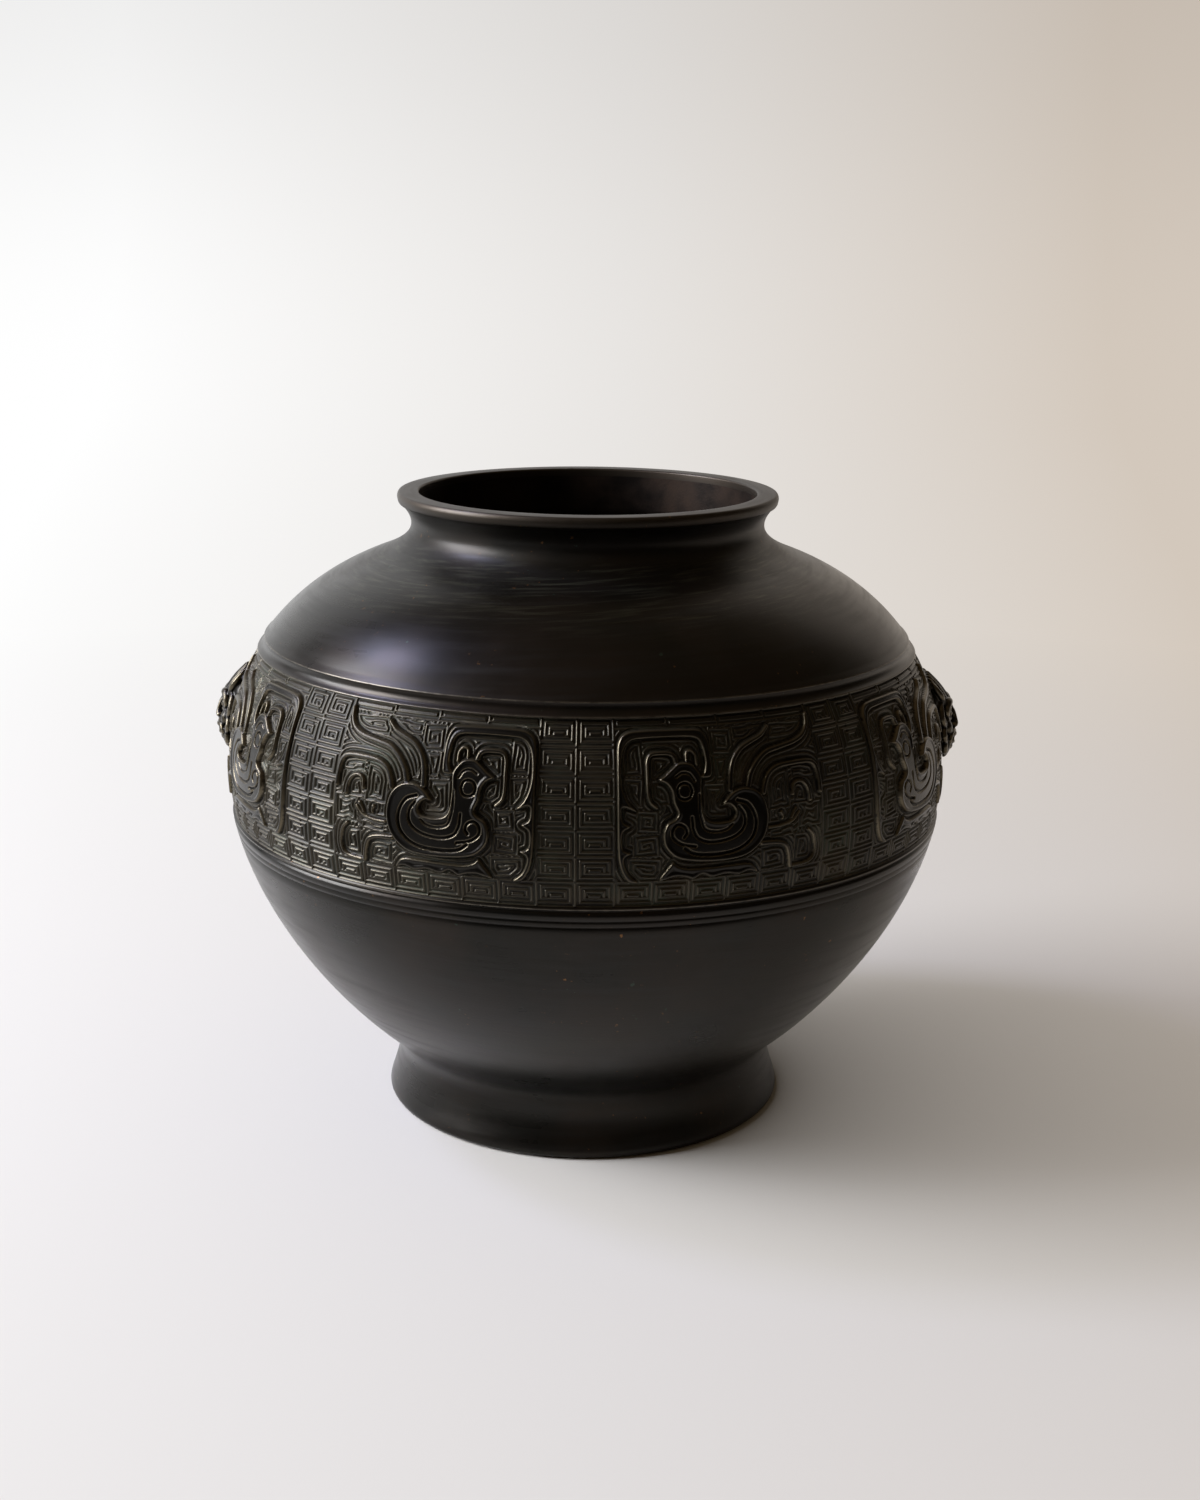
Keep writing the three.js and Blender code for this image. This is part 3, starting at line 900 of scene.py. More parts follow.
@dataclass
class Casting:
    """The one-piece casting: lip, neck, shoulder, mouldings, belly and foot, hollow inside."""

    outline: VaseOutline
    band: BandLayout
    segments: int = 384
    shoulder_steps: int = 50
    moulding_gap: float = 0.6
    ledge_corner: Line = ((0.0, 1.5), (1.2, 0.2), (2.0, 0.0))
    foot_edge: Line = ((0.0, 1.2), (0.8, 0.25), (1.6, 0.0))
    # each wave: how often round the vase, mm of height for each radian, its start and its share
    waves: tuple[tuple[int, float, float, float], ...] = (
        (3, 31.0, 0.0, 1.0), (5, -17.0, 1.3, 0.6), (9, 9.0, 2.1, 0.4))
    wave_depth: float = 0.09
    wave_radius: float = 0.14
    wave_start: Pair = (24.0, 40.0)
    wave_end: Pair = (222.0, 236.0)
    rim_wear: float = 0.1

    def wall_rows(self) -> Array:
        """The outer wall from waist to neck, with the mouldings round the band.

        Returns:
            Its (radius, height) points.
        """
        heights, stands = self.band.moulding()
        bowl = self.outline.bowl(self.outline.bowl_steps)[self.outline.soft_steps:, 1]
        shoulder = self.outline.shoulder(self.shoulder_steps)[:, 1]
        plain = np.concatenate([bowl[bowl < heights[0] - self.moulding_gap],
                                shoulder[shoulder > heights[-1] + self.moulding_gap]])
        rows = np.unique(np.concatenate([plain, heights]))
        stand = np.interp(rows, heights, stands, left=0.0, right=0.0)
        radius = self.outline.radius(rows) + stand / self.outline.normal(rows)[:, 0]
        return np.stack([radius, rows], -1)

    def profile(self) -> Array:
        """The whole closed profile, up the outside and down the inside.

        Returns:
            Its (radius, height) points.
        """
        shape = self.outline
        ledge_top = shape.ledge_height + shape.ledge_thickness
        inner = np.vstack([shape.inside(shape.bowl(shape.inner_steps)),
                           shape.inside(shape.shoulder(shape.inner_steps))[1:]])[::-1]
        base = np.array([
            *[(shape.waist_radius - shape.wall - inward, ledge_top + up)
              for inward, up in self.ledge_corner],
            (shape.ledge_radius, ledge_top),
            (shape.ledge_radius, shape.ledge_height),
            (shape.foot_inner_radius, shape.ledge_height),
            *[(shape.foot_inner_radius + outward, up) for outward, up in self.foot_edge]])
        return np.vstack([shape.foot()[:-1], self.wall_rows(), shape.neck(), shape.lip(),
                          shape.bore(), inner, base])

    def wear(self, profile: Array) -> Array:
        """Finds how far the band's edges and the lip's rim are rubbed bright.

        Args:
            profile: The whole profile.

        Returns:
            A wear value from 0 to 1 for each of its rows.
        """
        radius, height = profile.T
        outside = radius > self.outline.radius(height) - self.outline.wall / 2
        away = np.min([np.abs(height - edge) for edge in self.band.rubbed], axis=0)
        edges = outside * np.clip(self.band.rubbed_reach - away / self.band.rubbed_width, 0, 1)
        rim = ((height > self.outline.height - self.outline.lip_edge_drop)
               & (radius > self.outline.lip_radius - self.outline.lip_edge_round))
        return np.maximum(edges, self.rim_wear * rim)

    def build(self, outside: Material, inside: Material) -> Piece:
        """Spins the casting and gives its surface the slight waves of hand finishing.

        Args:
            outside: Material of the outer face and the lip.
            inside: Material of the hollow and the foot's underside.

        Returns:
            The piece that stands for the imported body.
        """
        profile = self.profile()
        piece = spun("vase_casting", profile, self.segments)
        self.wave(piece)
        carry(piece.data, "worn", np.repeat(self.wear(profile), self.segments))
        piece.data.materials.append(outside)
        piece.data.materials.append(inside)
        bore_top = (self.outline.mouth_radius, self.outline.height - self.outline.bore_top_drop)
        outer_rows = int(np.argmin(np.abs(profile - bore_top).sum(1)))
        slots = np.repeat((np.arange(len(profile)) >= outer_rows).astype(np.int32), self.segments)
        piece.data.polygons.foreach_set("material_index", slots)
        piece.data.update()
        return piece

    def wave(self, piece: Piece) -> None:
        """Gives the casting's wall its slight waves, which end at the foot and the neck.

        Args:
            piece: The spun casting.
        """
        spots = read_points(piece.data, "co")
        angle = np.arctan2(spots[:, 1], spots[:, 0])
        height = spots[:, 2] / MM
        ripple = sum(weight * np.sin(turns * angle + height / rise + start)
                     for turns, rise, start, weight in self.waves)
        calm = fade(height, *self.wave_start) * (1 - fade(height, *self.wave_end))
        spots[:, :2] *= (1 + self.wave_depth * MM * ripple * calm / self.wave_radius)[:, None]
        piece.data.vertices.foreach_set("co", spots.ravel())


# The relief

@dataclass(frozen=True)
class Bar:
    """A raised bar along a smooth line, in mm across the panel and above the foot."""

    line: Line
    width: float
    tip_width: float
    height: float


@dataclass(frozen=True)
class Plate:
    """A raised plate inside a closed smooth outline."""

    outline: Line
    height: float


@dataclass(frozen=True)
class Groove:
    """A line chased into a plate."""

    line: Line
    width: float
    depth: float


@dataclass(frozen=True)
class Cell:
    """A patch of thunder fret: its two sides across the panel, its lower and upper edge, its turn."""

    near: float
    far: float
    low: float
    high: float
    turn: int = 1


@dataclass(frozen=True)
class Field:
    """Points of a stretch of the band: mm across from where it starts, and mm above the foot."""

    across: Array
    up: Array

    def to_line(self, line: Array, reach: float, closed: bool = False) -> tuple[Array, Array]:
        """Measures every point against a line.

        Args:
            line: The line's points.
            reach: How far from the line to measure, in mm.
            closed: Whether it returns to its start.

        Returns:
            The distance of each point, and the share of the line's length where it is nearest.
        """
        if closed:
            line = np.vstack([line, line[:1]])
        low, high = line.min(0) - reach, line.max(0) + reach
        near = ((self.across > low[0]) & (self.across < high[0])
                & (self.up > low[1]) & (self.up < high[1]))
        across, up = self.across[near], self.up[near]
        best = np.full(across.shape, FAR)
        share = np.zeros(across.shape)
        for i, (start, end) in enumerate(zip(line[:-1], line[1:])):
            run = end - start
            t = ((across - start[0]) * run[0] + (up - start[1]) * run[1]) / max(run @ run, 1e-12)
            t = np.clip(t, 0, 1)
            away = np.hypot(across - start[0] - t * run[0], up - start[1] - t * run[1])
            closer = away < best
            best = np.where(closer, away, best)
            share = np.where(closer, (i + t) / (len(line) - 1), share)
        distance = np.full(self.across.shape, FAR)
        places = np.zeros(self.across.shape)
        distance[near], places[near] = best, share
        return distance, places

    def within(self, outline: Array) -> Array:
        """Finds which points lie inside a closed line.

        Args:
            outline: The line's points.

        Returns:
            True for each point inside.
        """
        inside = np.zeros(self.across.shape, bool)
        for start, end in zip(outline, np.roll(outline, -1, axis=0)):
            if start[1] == end[1]:
                continue
            crosses = (start[1] > self.up) != (end[1] > self.up)
            slope = (end[0] - start[0]) / (end[1] - start[1])
            inside ^= crosses & (self.across < slope * (self.up - start[1]) + start[0])
        return inside


def shoulder_of(depth: Array, bevel: float) -> Array:
    """Rounded edge of a raised form: 0 at its outline and 1 one bevel inside."""
    t = np.clip(depth / bevel, 0, 1)
    return np.sqrt(np.maximum(1 - (1 - t) ** 2, 0))


@dataclass(frozen=True)
class ThunderFret:
    """The ground of square spirals: raised threads at about one pitch, shared at the borders."""

    pitch: float = 1.6
    height: float = 0.5
    steepness: float = 2.2
    hollow: float = 0.6

    def threads(self, rings: Array) -> Array:
        """Height of the threads where rings counts whole pitches from a border."""
        swing = 0.5 - 0.5 * np.cos(2 * math.pi * rings)
        return self.height * np.clip(self.steepness * swing - self.hollow, 0, 1)

    def key_rings(self, across: Array, up: Array, width: float,
                  height: float | Array, threads: int) -> Array:
        """Rings of one square spiral: nested half boxes that step inwards at every half turn.

        Args:
            across: Places from the unit's near side.
            up: Heights from its lower edge.
            width: The unit's width.
            height: Its height.
            threads: Pitches across it.

        Returns:
            Whole pitches from the border's own thread.
        """
        turns = np.maximum(np.round(height / self.pitch - 0.5), 2)
        lift = height / (turns + 0.5)
        step = width / threads
        near, far, low, high = across / step, (width - across) / step, up / lift, (height - up) / lift
        lower = np.minimum(np.minimum(near, low), far + 1)
        upper = np.minimum(np.minimum(near, high), far)
        return np.where(low < turns // 2 + 0.25, lower, upper) + 0.5

    def row_rings(self, points: Field, start: float, end: float, low: float, high: float,
                  count: int) -> Array:
        """Rings of a row of equal units, side by side.

        Args:
            points: Places on the panel.
            start: Where the row starts across the panel.
            end: Where it ends.
            low: Height of its lower edge.
            high: Height of its upper edge.
            count: Number of units.

        Returns:
            Whole pitches from the border's own thread.
        """
        unit = (end - start) / count
        across = np.mod(points.across - start, unit)
        return self.key_rings(across, points.up - low, unit, high - low, round(unit / self.pitch))

    def border(self, away: Array) -> Array:
        """Height of a single thread at distances in mm from its middle."""
        return np.where(np.abs(away) < self.pitch / 2, self.threads(0.5 + away / self.pitch), 0.0)


@dataclass(frozen=True)
class BirdPanel:
    """One archaic phoenix in its crest frame, over a ground of thunder fret.

    Places run in mm from the edge that the bird faces, which is its crest frame's, to its tail.
    """

    width: float = 78.7
    bottom_row_top: float = 130.7
    top_row_foot: float = 181.2
    bevel: float = 0.75
    rim: float = 1.0
    dip: float = 0.35
    fret_gap: float = 0.35
    fret_fade: float = 0.3
    form_reach: float = 14.0
    groove_reach: float = 2.0
    groove_floor: float = 1.25
    row_units: tuple[int, int] = (6, 4)
    plates: tuple[Plate, ...] = (
        # crest frame with its three thorns
        Plate(((34.6, 166.0), (34.9, 171.0), (34.6, 176.5), (33.2, 179.7), (30.3, 181.0),
               (20.0, 181.3), (9.0, 181.2), (4.2, 180.4), (1.6, 178.0), (0.8, 173.5),
               (0.7, 160.0), (0.8, 146.0), (1.2, 138.8), (2.4, 134.2), (4.8, 130.9),
               (8.2, 130.6), (5.0, 133.6), (3.4, 137.4), (3.6, 139.7), (5.7, 141.0),
               (3.1, 142.3), (2.5, 145.2), (2.9, 148.4), (5.3, 150.2), (3.0, 151.8),
               (2.4, 154.3), (2.9, 156.6), (7.4, 155.2), (4.9, 158.2), (3.2, 161.8),
               (2.4, 166.5), (2.6, 171.5), (3.7, 175.5), (6.2, 177.7), (11.0, 178.3),
               (22.0, 178.4), (29.0, 178.0), (31.3, 176.4), (32.1, 173.0), (32.2, 169.5),
               (31.5, 167.2), (30.1, 165.6), (32.4, 165.1)), 1.6),
        # head, neck and crescent body in one
        Plate(((30.6, 165.5), (29.1, 168.5), (26.6, 170.6), (22.8, 170.9), (20.4, 169.5),
               (17.8, 167.4), (15.2, 165.4), (17.8, 163.9), (19.5, 161.4), (20.0, 157.8),
               (21.4, 154.2), (20.2, 152.4), (17.6, 150.9), (16.3, 147.5), (16.7, 143.4),
               (19.3, 140.0), (23.0, 138.1), (30.0, 137.0), (38.0, 136.7), (45.0, 137.4),
               (49.6, 139.6), (53.2, 143.4), (54.9, 148.5), (54.8, 153.0), (53.4, 157.2),
               (50.4, 160.2), (46.0, 161.4), (42.2, 160.6), (39.2, 158.4), (37.5, 155.8),
               (39.8, 155.9), (41.8, 154.2), (42.0, 152.2), (40.3, 150.9), (35.8, 150.6),
               (32.3, 151.6), (30.7, 154.5), (30.3, 160.0)), 2.0),
        # tail leaf with a scalloped lower edge
        Plate(((51.3, 130.9), (50.2, 133.2), (47.6, 134.9), (40.0, 135.0), (32.0, 134.8),
               (25.5, 134.9), (21.8, 136.0), (20.0, 137.4), (18.0, 135.2), (15.8, 132.4),
               (15.4, 130.8), (17.8, 131.3), (20.9, 132.0), (24.4, 131.6), (27.4, 130.8),
               (30.4, 132.3), (34.0, 130.9), (39.0, 131.7), (43.8, 130.9), (47.6, 131.8)), 1.3),
    )
    bars: tuple[Bar, ...] = (
        # hook inside the crest, then the tuft on the head
        Bar(((21.9, 170.9), (21.2, 172.7), (19.4, 173.6), (15.8, 173.8), (12.9, 173.3),
             (11.6, 171.2), (11.5, 166.5), (11.5, 161.5), (12.2, 158.3), (14.3, 156.3)),
            2.0, 1.4, 1.5),
        Bar(((29.2, 169.6), (29.0, 172.6), (27.6, 174.2), (25.9, 173.6), (25.6, 171.0)),
            1.3, 1.3, 1.5),
        # two long plumes
        Bar(((77.7, 181.6), (76.6, 178.4), (74.0, 175.6), (69.4, 173.8), (62.5, 172.7),
             (56.7, 171.6), (52.4, 168.8), (49.4, 165.2), (48.0, 161.4)), 1.7, 2.4, 1.5),
        Bar(((59.0, 179.4), (55.6, 177.0), (51.0, 175.4), (46.8, 173.6), (43.4, 170.2),
             (41.8, 166.0), (41.2, 160.8)), 1.6, 2.4, 1.5),
        # outer and inner arch behind the body, with what hangs under them
        Bar(((78.0, 156.2), (77.8, 161.5), (76.7, 165.3), (73.6, 166.8), (66.5, 167.0),
             (60.4, 166.5), (56.6, 164.6), (54.6, 161.4), (53.8, 158.6)), 1.9, 2.1, 1.5),
        Bar(((73.3, 153.8), (72.8, 157.6), (71.0, 160.0), (68.6, 160.7), (66.4, 159.7),
             (65.7, 156.6)), 1.7, 1.4, 1.3),
        Bar(((66.9, 151.3), (65.8, 150.1), (64.8, 148.4)), 1.7, 0.9, 1.1),
        Bar(((60.8, 150.9), (61.2, 149.9), (61.0, 148.6)), 1.7, 0.9, 1.1),
        Bar(((68.0, 150.2), (65.2, 147.6), (60.8, 146.5), (55.6, 146.3)), 1.2, 1.4, 1.2),
        # two hooks at the foot of the tail
        Bar(((72.2, 143.4), (74.2, 141.2), (75.0, 137.4), (74.5, 133.7), (72.4, 131.9),
             (68.6, 131.4), (65.6, 131.3)), 1.5, 1.5, 1.3),
        Bar(((64.4, 131.4), (63.7, 136.2), (62.2, 139.4), (58.4, 140.8), (52.6, 141.2)),
            1.7, 2.0, 1.5),
    )
    grooves: tuple[Groove, ...] = (
        # two long ridge lines of the crescent, then the curl of the breast and the neck's line
        Groove(((43.2, 157.2), (47.2, 155.6), (49.6, 151.6), (49.8, 147.4), (48.2, 143.8),
                (44.6, 141.0), (39.5, 139.6), (32.5, 139.4), (27.0, 140.2), (24.0, 142.2)),
               1.1, 1.0),
        Groove(((43.6, 155.0), (45.6, 152.0), (45.4, 148.2), (42.6, 145.4), (38.0, 144.0),
                (32.6, 143.8), (28.6, 145.4), (26.9, 148.6), (26.5, 152.6)), 1.0, 0.9),
        Groove(((27.6, 142.6), (23.0, 143.6), (20.0, 145.8), (19.6, 148.6), (21.4, 150.4),
                (23.8, 149.6), (24.6, 147.6), (23.6, 146.0)), 1.0, 0.9),
        Groove(((29.4, 160.2), (29.3, 156.0), (29.8, 152.2), (31.2, 148.4), (35.0, 147.2),
                (39.0, 147.8), (41.0, 149.4)), 0.9, 0.6),
        # eye ring and brow
        Groove(((26.9, 161.4), (26.0, 163.4), (24.2, 164.0), (22.4, 163.3), (21.6, 161.4),
                (22.3, 159.5), (24.2, 158.7), (26.1, 159.4), (26.9, 161.4)), 0.9, 0.9),
        Groove(((28.0, 164.6), (26.4, 166.8), (23.8, 167.4), (21.4, 166.2)), 0.8, 0.6),
    )
    cells: tuple[Cell, ...] = (
        Cell(35.2, 44.6, 171.6, 180.4), Cell(44.8, 58.0, 176.2, 180.4, -1),
        Cell(58.6, 76.0, 174.4, 180.4), Cell(36.0, 44.0, 163.4, 171.4, -1),
        Cell(31.2, 40.6, 151.2, 163.2), Cell(13.0, 21.0, 165.6, 173.0),
        Cell(13.0, 19.6, 156.4, 164.6, -1), Cell(3.0, 10.2, 155.6, 166.0),
        Cell(3.0, 10.2, 166.2, 177.6, -1), Cell(7.4, 15.4, 147.4, 155.2),
        Cell(6.2, 15.6, 139.2, 147.2, -1), Cell(4.6, 16.4, 131.0, 139.0),
        Cell(66.4, 72.4, 153.2, 160.0), Cell(55.6, 65.2, 151.8, 165.8, -1),
        Cell(66.2, 77.0, 161.2, 165.8), Cell(67.8, 78.6, 143.8, 153.4),
        Cell(56.0, 66.0, 142.2, 146.0, -1), Cell(66.0, 73.8, 132.2, 142.6),
        Cell(52.4, 62.6, 131.2, 139.6, -1),
    )

    def forms(self, points: Field) -> tuple[Array, Array]:
        """The bird itself.

        Args:
            points: Places on the panel.

        Returns:
            Its height at each point, and how far inside its forms each point lies.
        """
        height = np.zeros(points.across.shape)
        stand = np.full(points.across.shape, -FAR)
        for plate in self.plates:
            line = smooth_line(plate.outline, closed=True)
            distance, _ = points.to_line(line, self.form_reach, closed=True)
            depth = np.where(points.within(line), distance, -distance)
            stand = np.maximum(stand, depth)
            sunk = self.dip * fade(depth, self.rim, 2 * self.rim)
            height = np.maximum(height, plate.height * shoulder_of(depth, self.bevel) - sunk)
        for bar in self.bars:
            distance, share = points.to_line(smooth_line(bar.line), self.form_reach)
            depth = (bar.width + (bar.tip_width - bar.width) * share) / 2 - distance
            stand = np.maximum(stand, depth)
            height = np.maximum(height, bar.height * shoulder_of(depth, self.bevel))
        for groove in self.grooves:
            distance, _ = points.to_line(smooth_line(groove.line), self.groove_reach)
            height -= groove.depth * np.clip(self.groove_floor - 2 * distance / groove.width, 0, 1)
        return height, stand

    def height(self, points: Field, fret: ThunderFret, band: BandLayout) -> Array:
        """Lays the bird over the fret.

        Args:
            points: Places on the panel.
            fret: The ground's pattern.
            band: The band's edges.

        Returns:
            Height in mm over the fret's ground at each point.
        """
        height, stand = self.forms(points)
        free = -stand - self.fret_gap
        rings = self.spirals(points, free, fret.pitch)
        low_count, top_count = self.row_units
        low_row = fret.row_rings(points, 0, self.width, band.bottom, self.bottom_row_top, low_count)
        top_row = fret.row_rings(points, 0, self.width, self.top_row_foot, band.top, top_count)
        rings = np.where(points.up < self.bottom_row_top, low_row, rings)
        rings = np.where(points.up > self.top_row_foot, top_row, rings)
        edges = np.maximum(fret.border(points.up - self.bottom_row_top),
                           fret.border(points.up - self.top_row_foot))
        ground = np.maximum(fret.threads(rings), edges)
        return np.maximum(height, ground * np.clip(free / self.fret_fade + self.fret_fade, 0, 1))

    def spirals(self, points: Field, free: Array, pitch: float) -> Array:
        """Rings between the forms: round each form, and spiralling in each cell.

        Args:
            points: Places on the panel.
            free: Room in mm from each point to the nearest form.
            pitch: The fret's pitch.

        Returns:
            Whole pitches from the nearest edge.
        """
        rings = free / pitch
        for cell in self.cells:
            margin = np.minimum(
                np.minimum(points.across - cell.near, cell.far - points.across),
                np.minimum(points.up - cell.low, cell.high - points.up))
            angle = np.arctan2(points.up - (cell.low + cell.high) / 2,
                               points.across - (cell.near + cell.far) / 2)
            spiral = np.minimum(margin, free) / pitch + cell.turn * angle / (2 * math.pi)
            rings = np.where(margin > 0, spiral, rings)
        return rings


@dataclass
class ReliefBand:
    """The band round the shoulder: four mirrored quarters, each made as two curved tiles."""

    outline: VaseOutline
    band: BandLayout
    fret: ThunderFret = field(default_factory=ThunderFret)
    bird: BirdPanel = field(default_factory=BirdPanel)
    ground_stand: float = -1.45
    columns: int = 404
    rows: int = 236
    bird_span: float = 32.0
    bird_starts: Pair = (5.4, 48.5)
    # each divider: fret units across it, and threads across a unit
    divider_units: tuple[tuple[int, int], ...] = ((1, 8), (2, 6), (2, 6))
    row_edges: tuple[float, ...] = (121.4, 130.7, 139.7, 148.7, 157.7, 166.7, 175.7, 184.6)
    back_stand: float = -2.35
    back_rows: int = 8
    tile_count: int = 8
    tallest: float = 2.0
    # The sharp edges get a light line, partly rubbed wear and partly painted highlight.
    sharp_bend: Pair = (0.05, 0.4)
    fret_wear: float = 0.45
    wear_heights: Pair = (0.5, 1.0)
    face_share: float = 0.985
    strip_start: float = 0.99
    strip_width: float = 0.008
    strip_spots: int = 997

    def column_height(self, share: Array, width: float, up: Array,
                      threads: int) -> Array:
        """A column of fret units, one above the other.

        Args:
            share: Place across the column from 0 to 1.
            width: The column's width in mm.
            up: Heights above the foot.
            threads: Pitches across it.

        Returns:
            The threads' height.
        """
        edges = np.array(self.row_edges)
        row = np.clip(np.searchsorted(edges, up) - 1, 0, len(edges) - 2)
        low, high = edges[row], edges[row + 1]
        rings = self.fret.key_rings(share * width, up - low, width, high - low, threads)
        return self.fret.threads(rings)

    def quarter_height(self, degrees: Array, up: Array) -> Array:
        """Relief over one quarter of the band.

        Args:
            degrees: Angles from the front or back divider, 0 to 90.
            up: Heights above the foot.

        Returns:
            Height in mm over the fret's ground.
        """
        mm_per_degree = self.bird.width / self.bird_span
        bird_ends = [start + self.bird_span for start in self.bird_starts]
        dividers = ((0.0, self.bird_starts[0]), (bird_ends[0], self.bird_starts[1]), (bird_ends[1], 90.0))
        height = np.zeros(degrees.shape)
        for start, end in zip(self.bird_starts, bird_ends):
            here = (degrees >= start) & (degrees < end)
            points = Field((degrees[here] - start) * mm_per_degree, up[here])
            height[here] = self.bird.height(points, self.fret, self.band)
        for (start, end), (count, threads) in zip(dividers, self.divider_units):
            here = (degrees >= start) & (degrees < end)
            unit = (end - start) / count
            share = np.mod(degrees[here] - start, unit) / unit
            height[here] = self.column_height(share, unit * mm_per_degree, up[here], threads)
        for edge in (*self.bird_starts, *bird_ends):
            height = np.maximum(height, self.fret.border((degrees - edge) * mm_per_degree))
        return height

    def build(self, finish: Material) -> list[Piece]:
        """Makes the eight tiles.

        Args:
            finish: The relief's material.

        Returns:
            The tiles, named by their number round the vase.
        """
        quarter = np.linspace(0, 90, 2 * self.columns - 1)
        up = np.linspace(self.band.bottom, self.band.top, self.rows)
        degrees, heights = np.meshgrid(quarter, up)
        relief = self.quarter_height(np.minimum(degrees, 90 - 1e-6), heights)
        slopes = self.slopes(relief, up)
        worn = self.edge_wear_and_highlight(relief)
        tiles = []
        for number in range(self.tile_count):
            half = slice((number % 2) * (self.columns - 1), None)
            cut = (slice(None), slice(half.start, half.start + self.columns))
            turn = self.turned(degrees[cut], number // 2)
            name = f"relief_tile_{number + 1}"
            tile = self.tile(name, turn, heights[cut], relief[cut], slopes[:, *cut], worn[cut])
            tile.data.materials.append(finish)
            tiles.append(tile)
        return tiles

    def slopes(self, relief: Array, up: Array) -> Array:
        """Finds the slopes of the relief, which is level where the quarters mirror.

        Args:
            relief: Relief of one quarter, rows by columns.
            up: Height of each row.

        Returns:
            The slopes along the band and up the wall.
        """
        wide = np.pad(relief, ((0, 0), (1, 1)), mode="reflect")
        step = math.radians(90) / (relief.shape[1] - 1)
        run = step * self.outline.radius(up)[:, None]
        along = (wide[:, 2:] - wide[:, :-2]) / (2 * run)
        upward = np.gradient(relief, up, axis=0) * self.outline.normal(up)[:, :1]
        return np.stack([along, upward])

    def edge_wear_and_highlight(self, relief: Array) -> Array:
        """Finds where the relief turns over sharply, for its light edge line, partly rubbed wear and partly
        painted highlight.

        Args:
            relief: Relief of one quarter, rows by columns.

        Returns:
            1 on a sharp edge and 0 elsewhere, less on the fret than on the birds.
        """
        wide = np.pad(relief, 1, mode="edge")
        bend = 4 * relief - wide[:-2, 1:-1] - wide[2:, 1:-1] - wide[1:-1, :-2] - wide[1:-1, 2:]
        raised = self.fret_wear + (1 - self.fret_wear) * fade(relief, *self.wear_heights)
        return fade(bend, *self.sharp_bend) * raised

    @staticmethod
    def turned(degrees: Array, quarter: int) -> Array:
        """Angles from +X of a quarter's own angles from its divider. Odd quarters are mirrored."""
        mirrored = -1 if quarter % 2 else 1
        return np.radians(mirrored * degrees + 180 * (quarter // 2) - 90)

    def tile(self, name: str, turn: Array, heights: Array, relief: Array,
             slopes: Array, worn: Array) -> Piece:
        """One curved tile: its relief face, and a plain back that lies in the casting's recess.

        Args:
            name: The piece's name.
            turn: Angle of each point, rows by columns.
            heights: Height of each point above the foot.
            relief: Relief over the ground at each point.
            slopes: Its slopes along the band and up the wall.
            worn: How strong the light edge line is at each point, partly rubbed wear and partly painted
                highlight.

        Returns:
            The closed tile.
        """
        if turn[0, 1] < turn[0, 0]:
            turn, heights, relief, worn = [a[:, ::-1] for a in (turn, heights, relief, worn)]
            slopes = slopes[:, :, ::-1] * np.array([-1, 1])[:, None, None]
        rows, columns = turn.shape
        kept = np.linspace(0, rows - 1, self.back_rows).round().astype(int)
        face = self.on_wall(turn, heights, self.ground_stand + relief)
        back = self.on_wall(turn[kept], heights[kept], np.full(turn[kept].shape, self.back_stand))
        spots = np.vstack([face.reshape(-1, 3), back.reshape(-1, 3)])
        front = np.arange(rows * columns).reshape(rows, columns)
        behind = rows * columns + np.arange(len(kept) * columns).reshape(len(kept), columns)
        rims = [self.strip(front[0], behind[0], flip=False),
                self.strip(front[-1], behind[-1], flip=True)]
        sides = [self.side(front[:, 0], behind[:, 0], kept, flip=False),
                 self.side(front[:, -1], behind[:, -1], kept, flip=True)]
        back_faces = rows * columns + grid_faces(len(kept), columns)[:, ::-1]
        piece = mesh_piece(name, spots, grid_faces(rows, columns), back_faces, *rims, *sides)
        carry(piece.data, "height", relief / self.tallest)
        carry(piece.data, "worn", worn)
        self.map_tile(piece, rows, columns)
        outward = np.zeros((len(spots), 3))
        outward[:rows * columns] = self.outward(turn, heights, slopes).reshape(-1, 3)
        piece.data.normals_split_custom_set_from_vertices(outward.tolist())
        return piece

    def on_wall(self, turn: Array, height: Array, stand: Array) -> Array:
        """Places in mm at angles and heights, standing off the plain wall."""
        radius = self.outline.radius(height) + stand / self.outline.normal(height)[..., 0]
        return np.stack([radius * np.cos(turn), radius * np.sin(turn), height], -1)

    def outward(self, turn: Array, height: Array, slopes: Array) -> Array:
        """Finds the outward normals of the relief.

        Args:
            turn: Angle of each point.
            height: Height of each point.
            slopes: Slopes of the relief along the band and up the wall.

        Returns:
            The normals, of length 1.
        """
        along, upward = slopes
        wall = self.outline.normal(height)
        radial = wall[..., 0] + upward * wall[..., 1]
        rise = wall[..., 1] - upward * wall[..., 0]
        normal = np.stack([radial * np.cos(turn) + along * np.sin(turn),
                           radial * np.sin(turn) - along * np.cos(turn), rise], -1)
        return normal / np.linalg.norm(normal, axis=-1, keepdims=True)

    @staticmethod
    def strip(front: Array, behind: Array, flip: bool) -> Array:
        """Faces from a row of the front to the like row of the back."""
        faces = np.stack([front[:-1], behind[:-1], behind[1:], front[1:]], -1)
        return faces[:, ::-1] if flip else faces

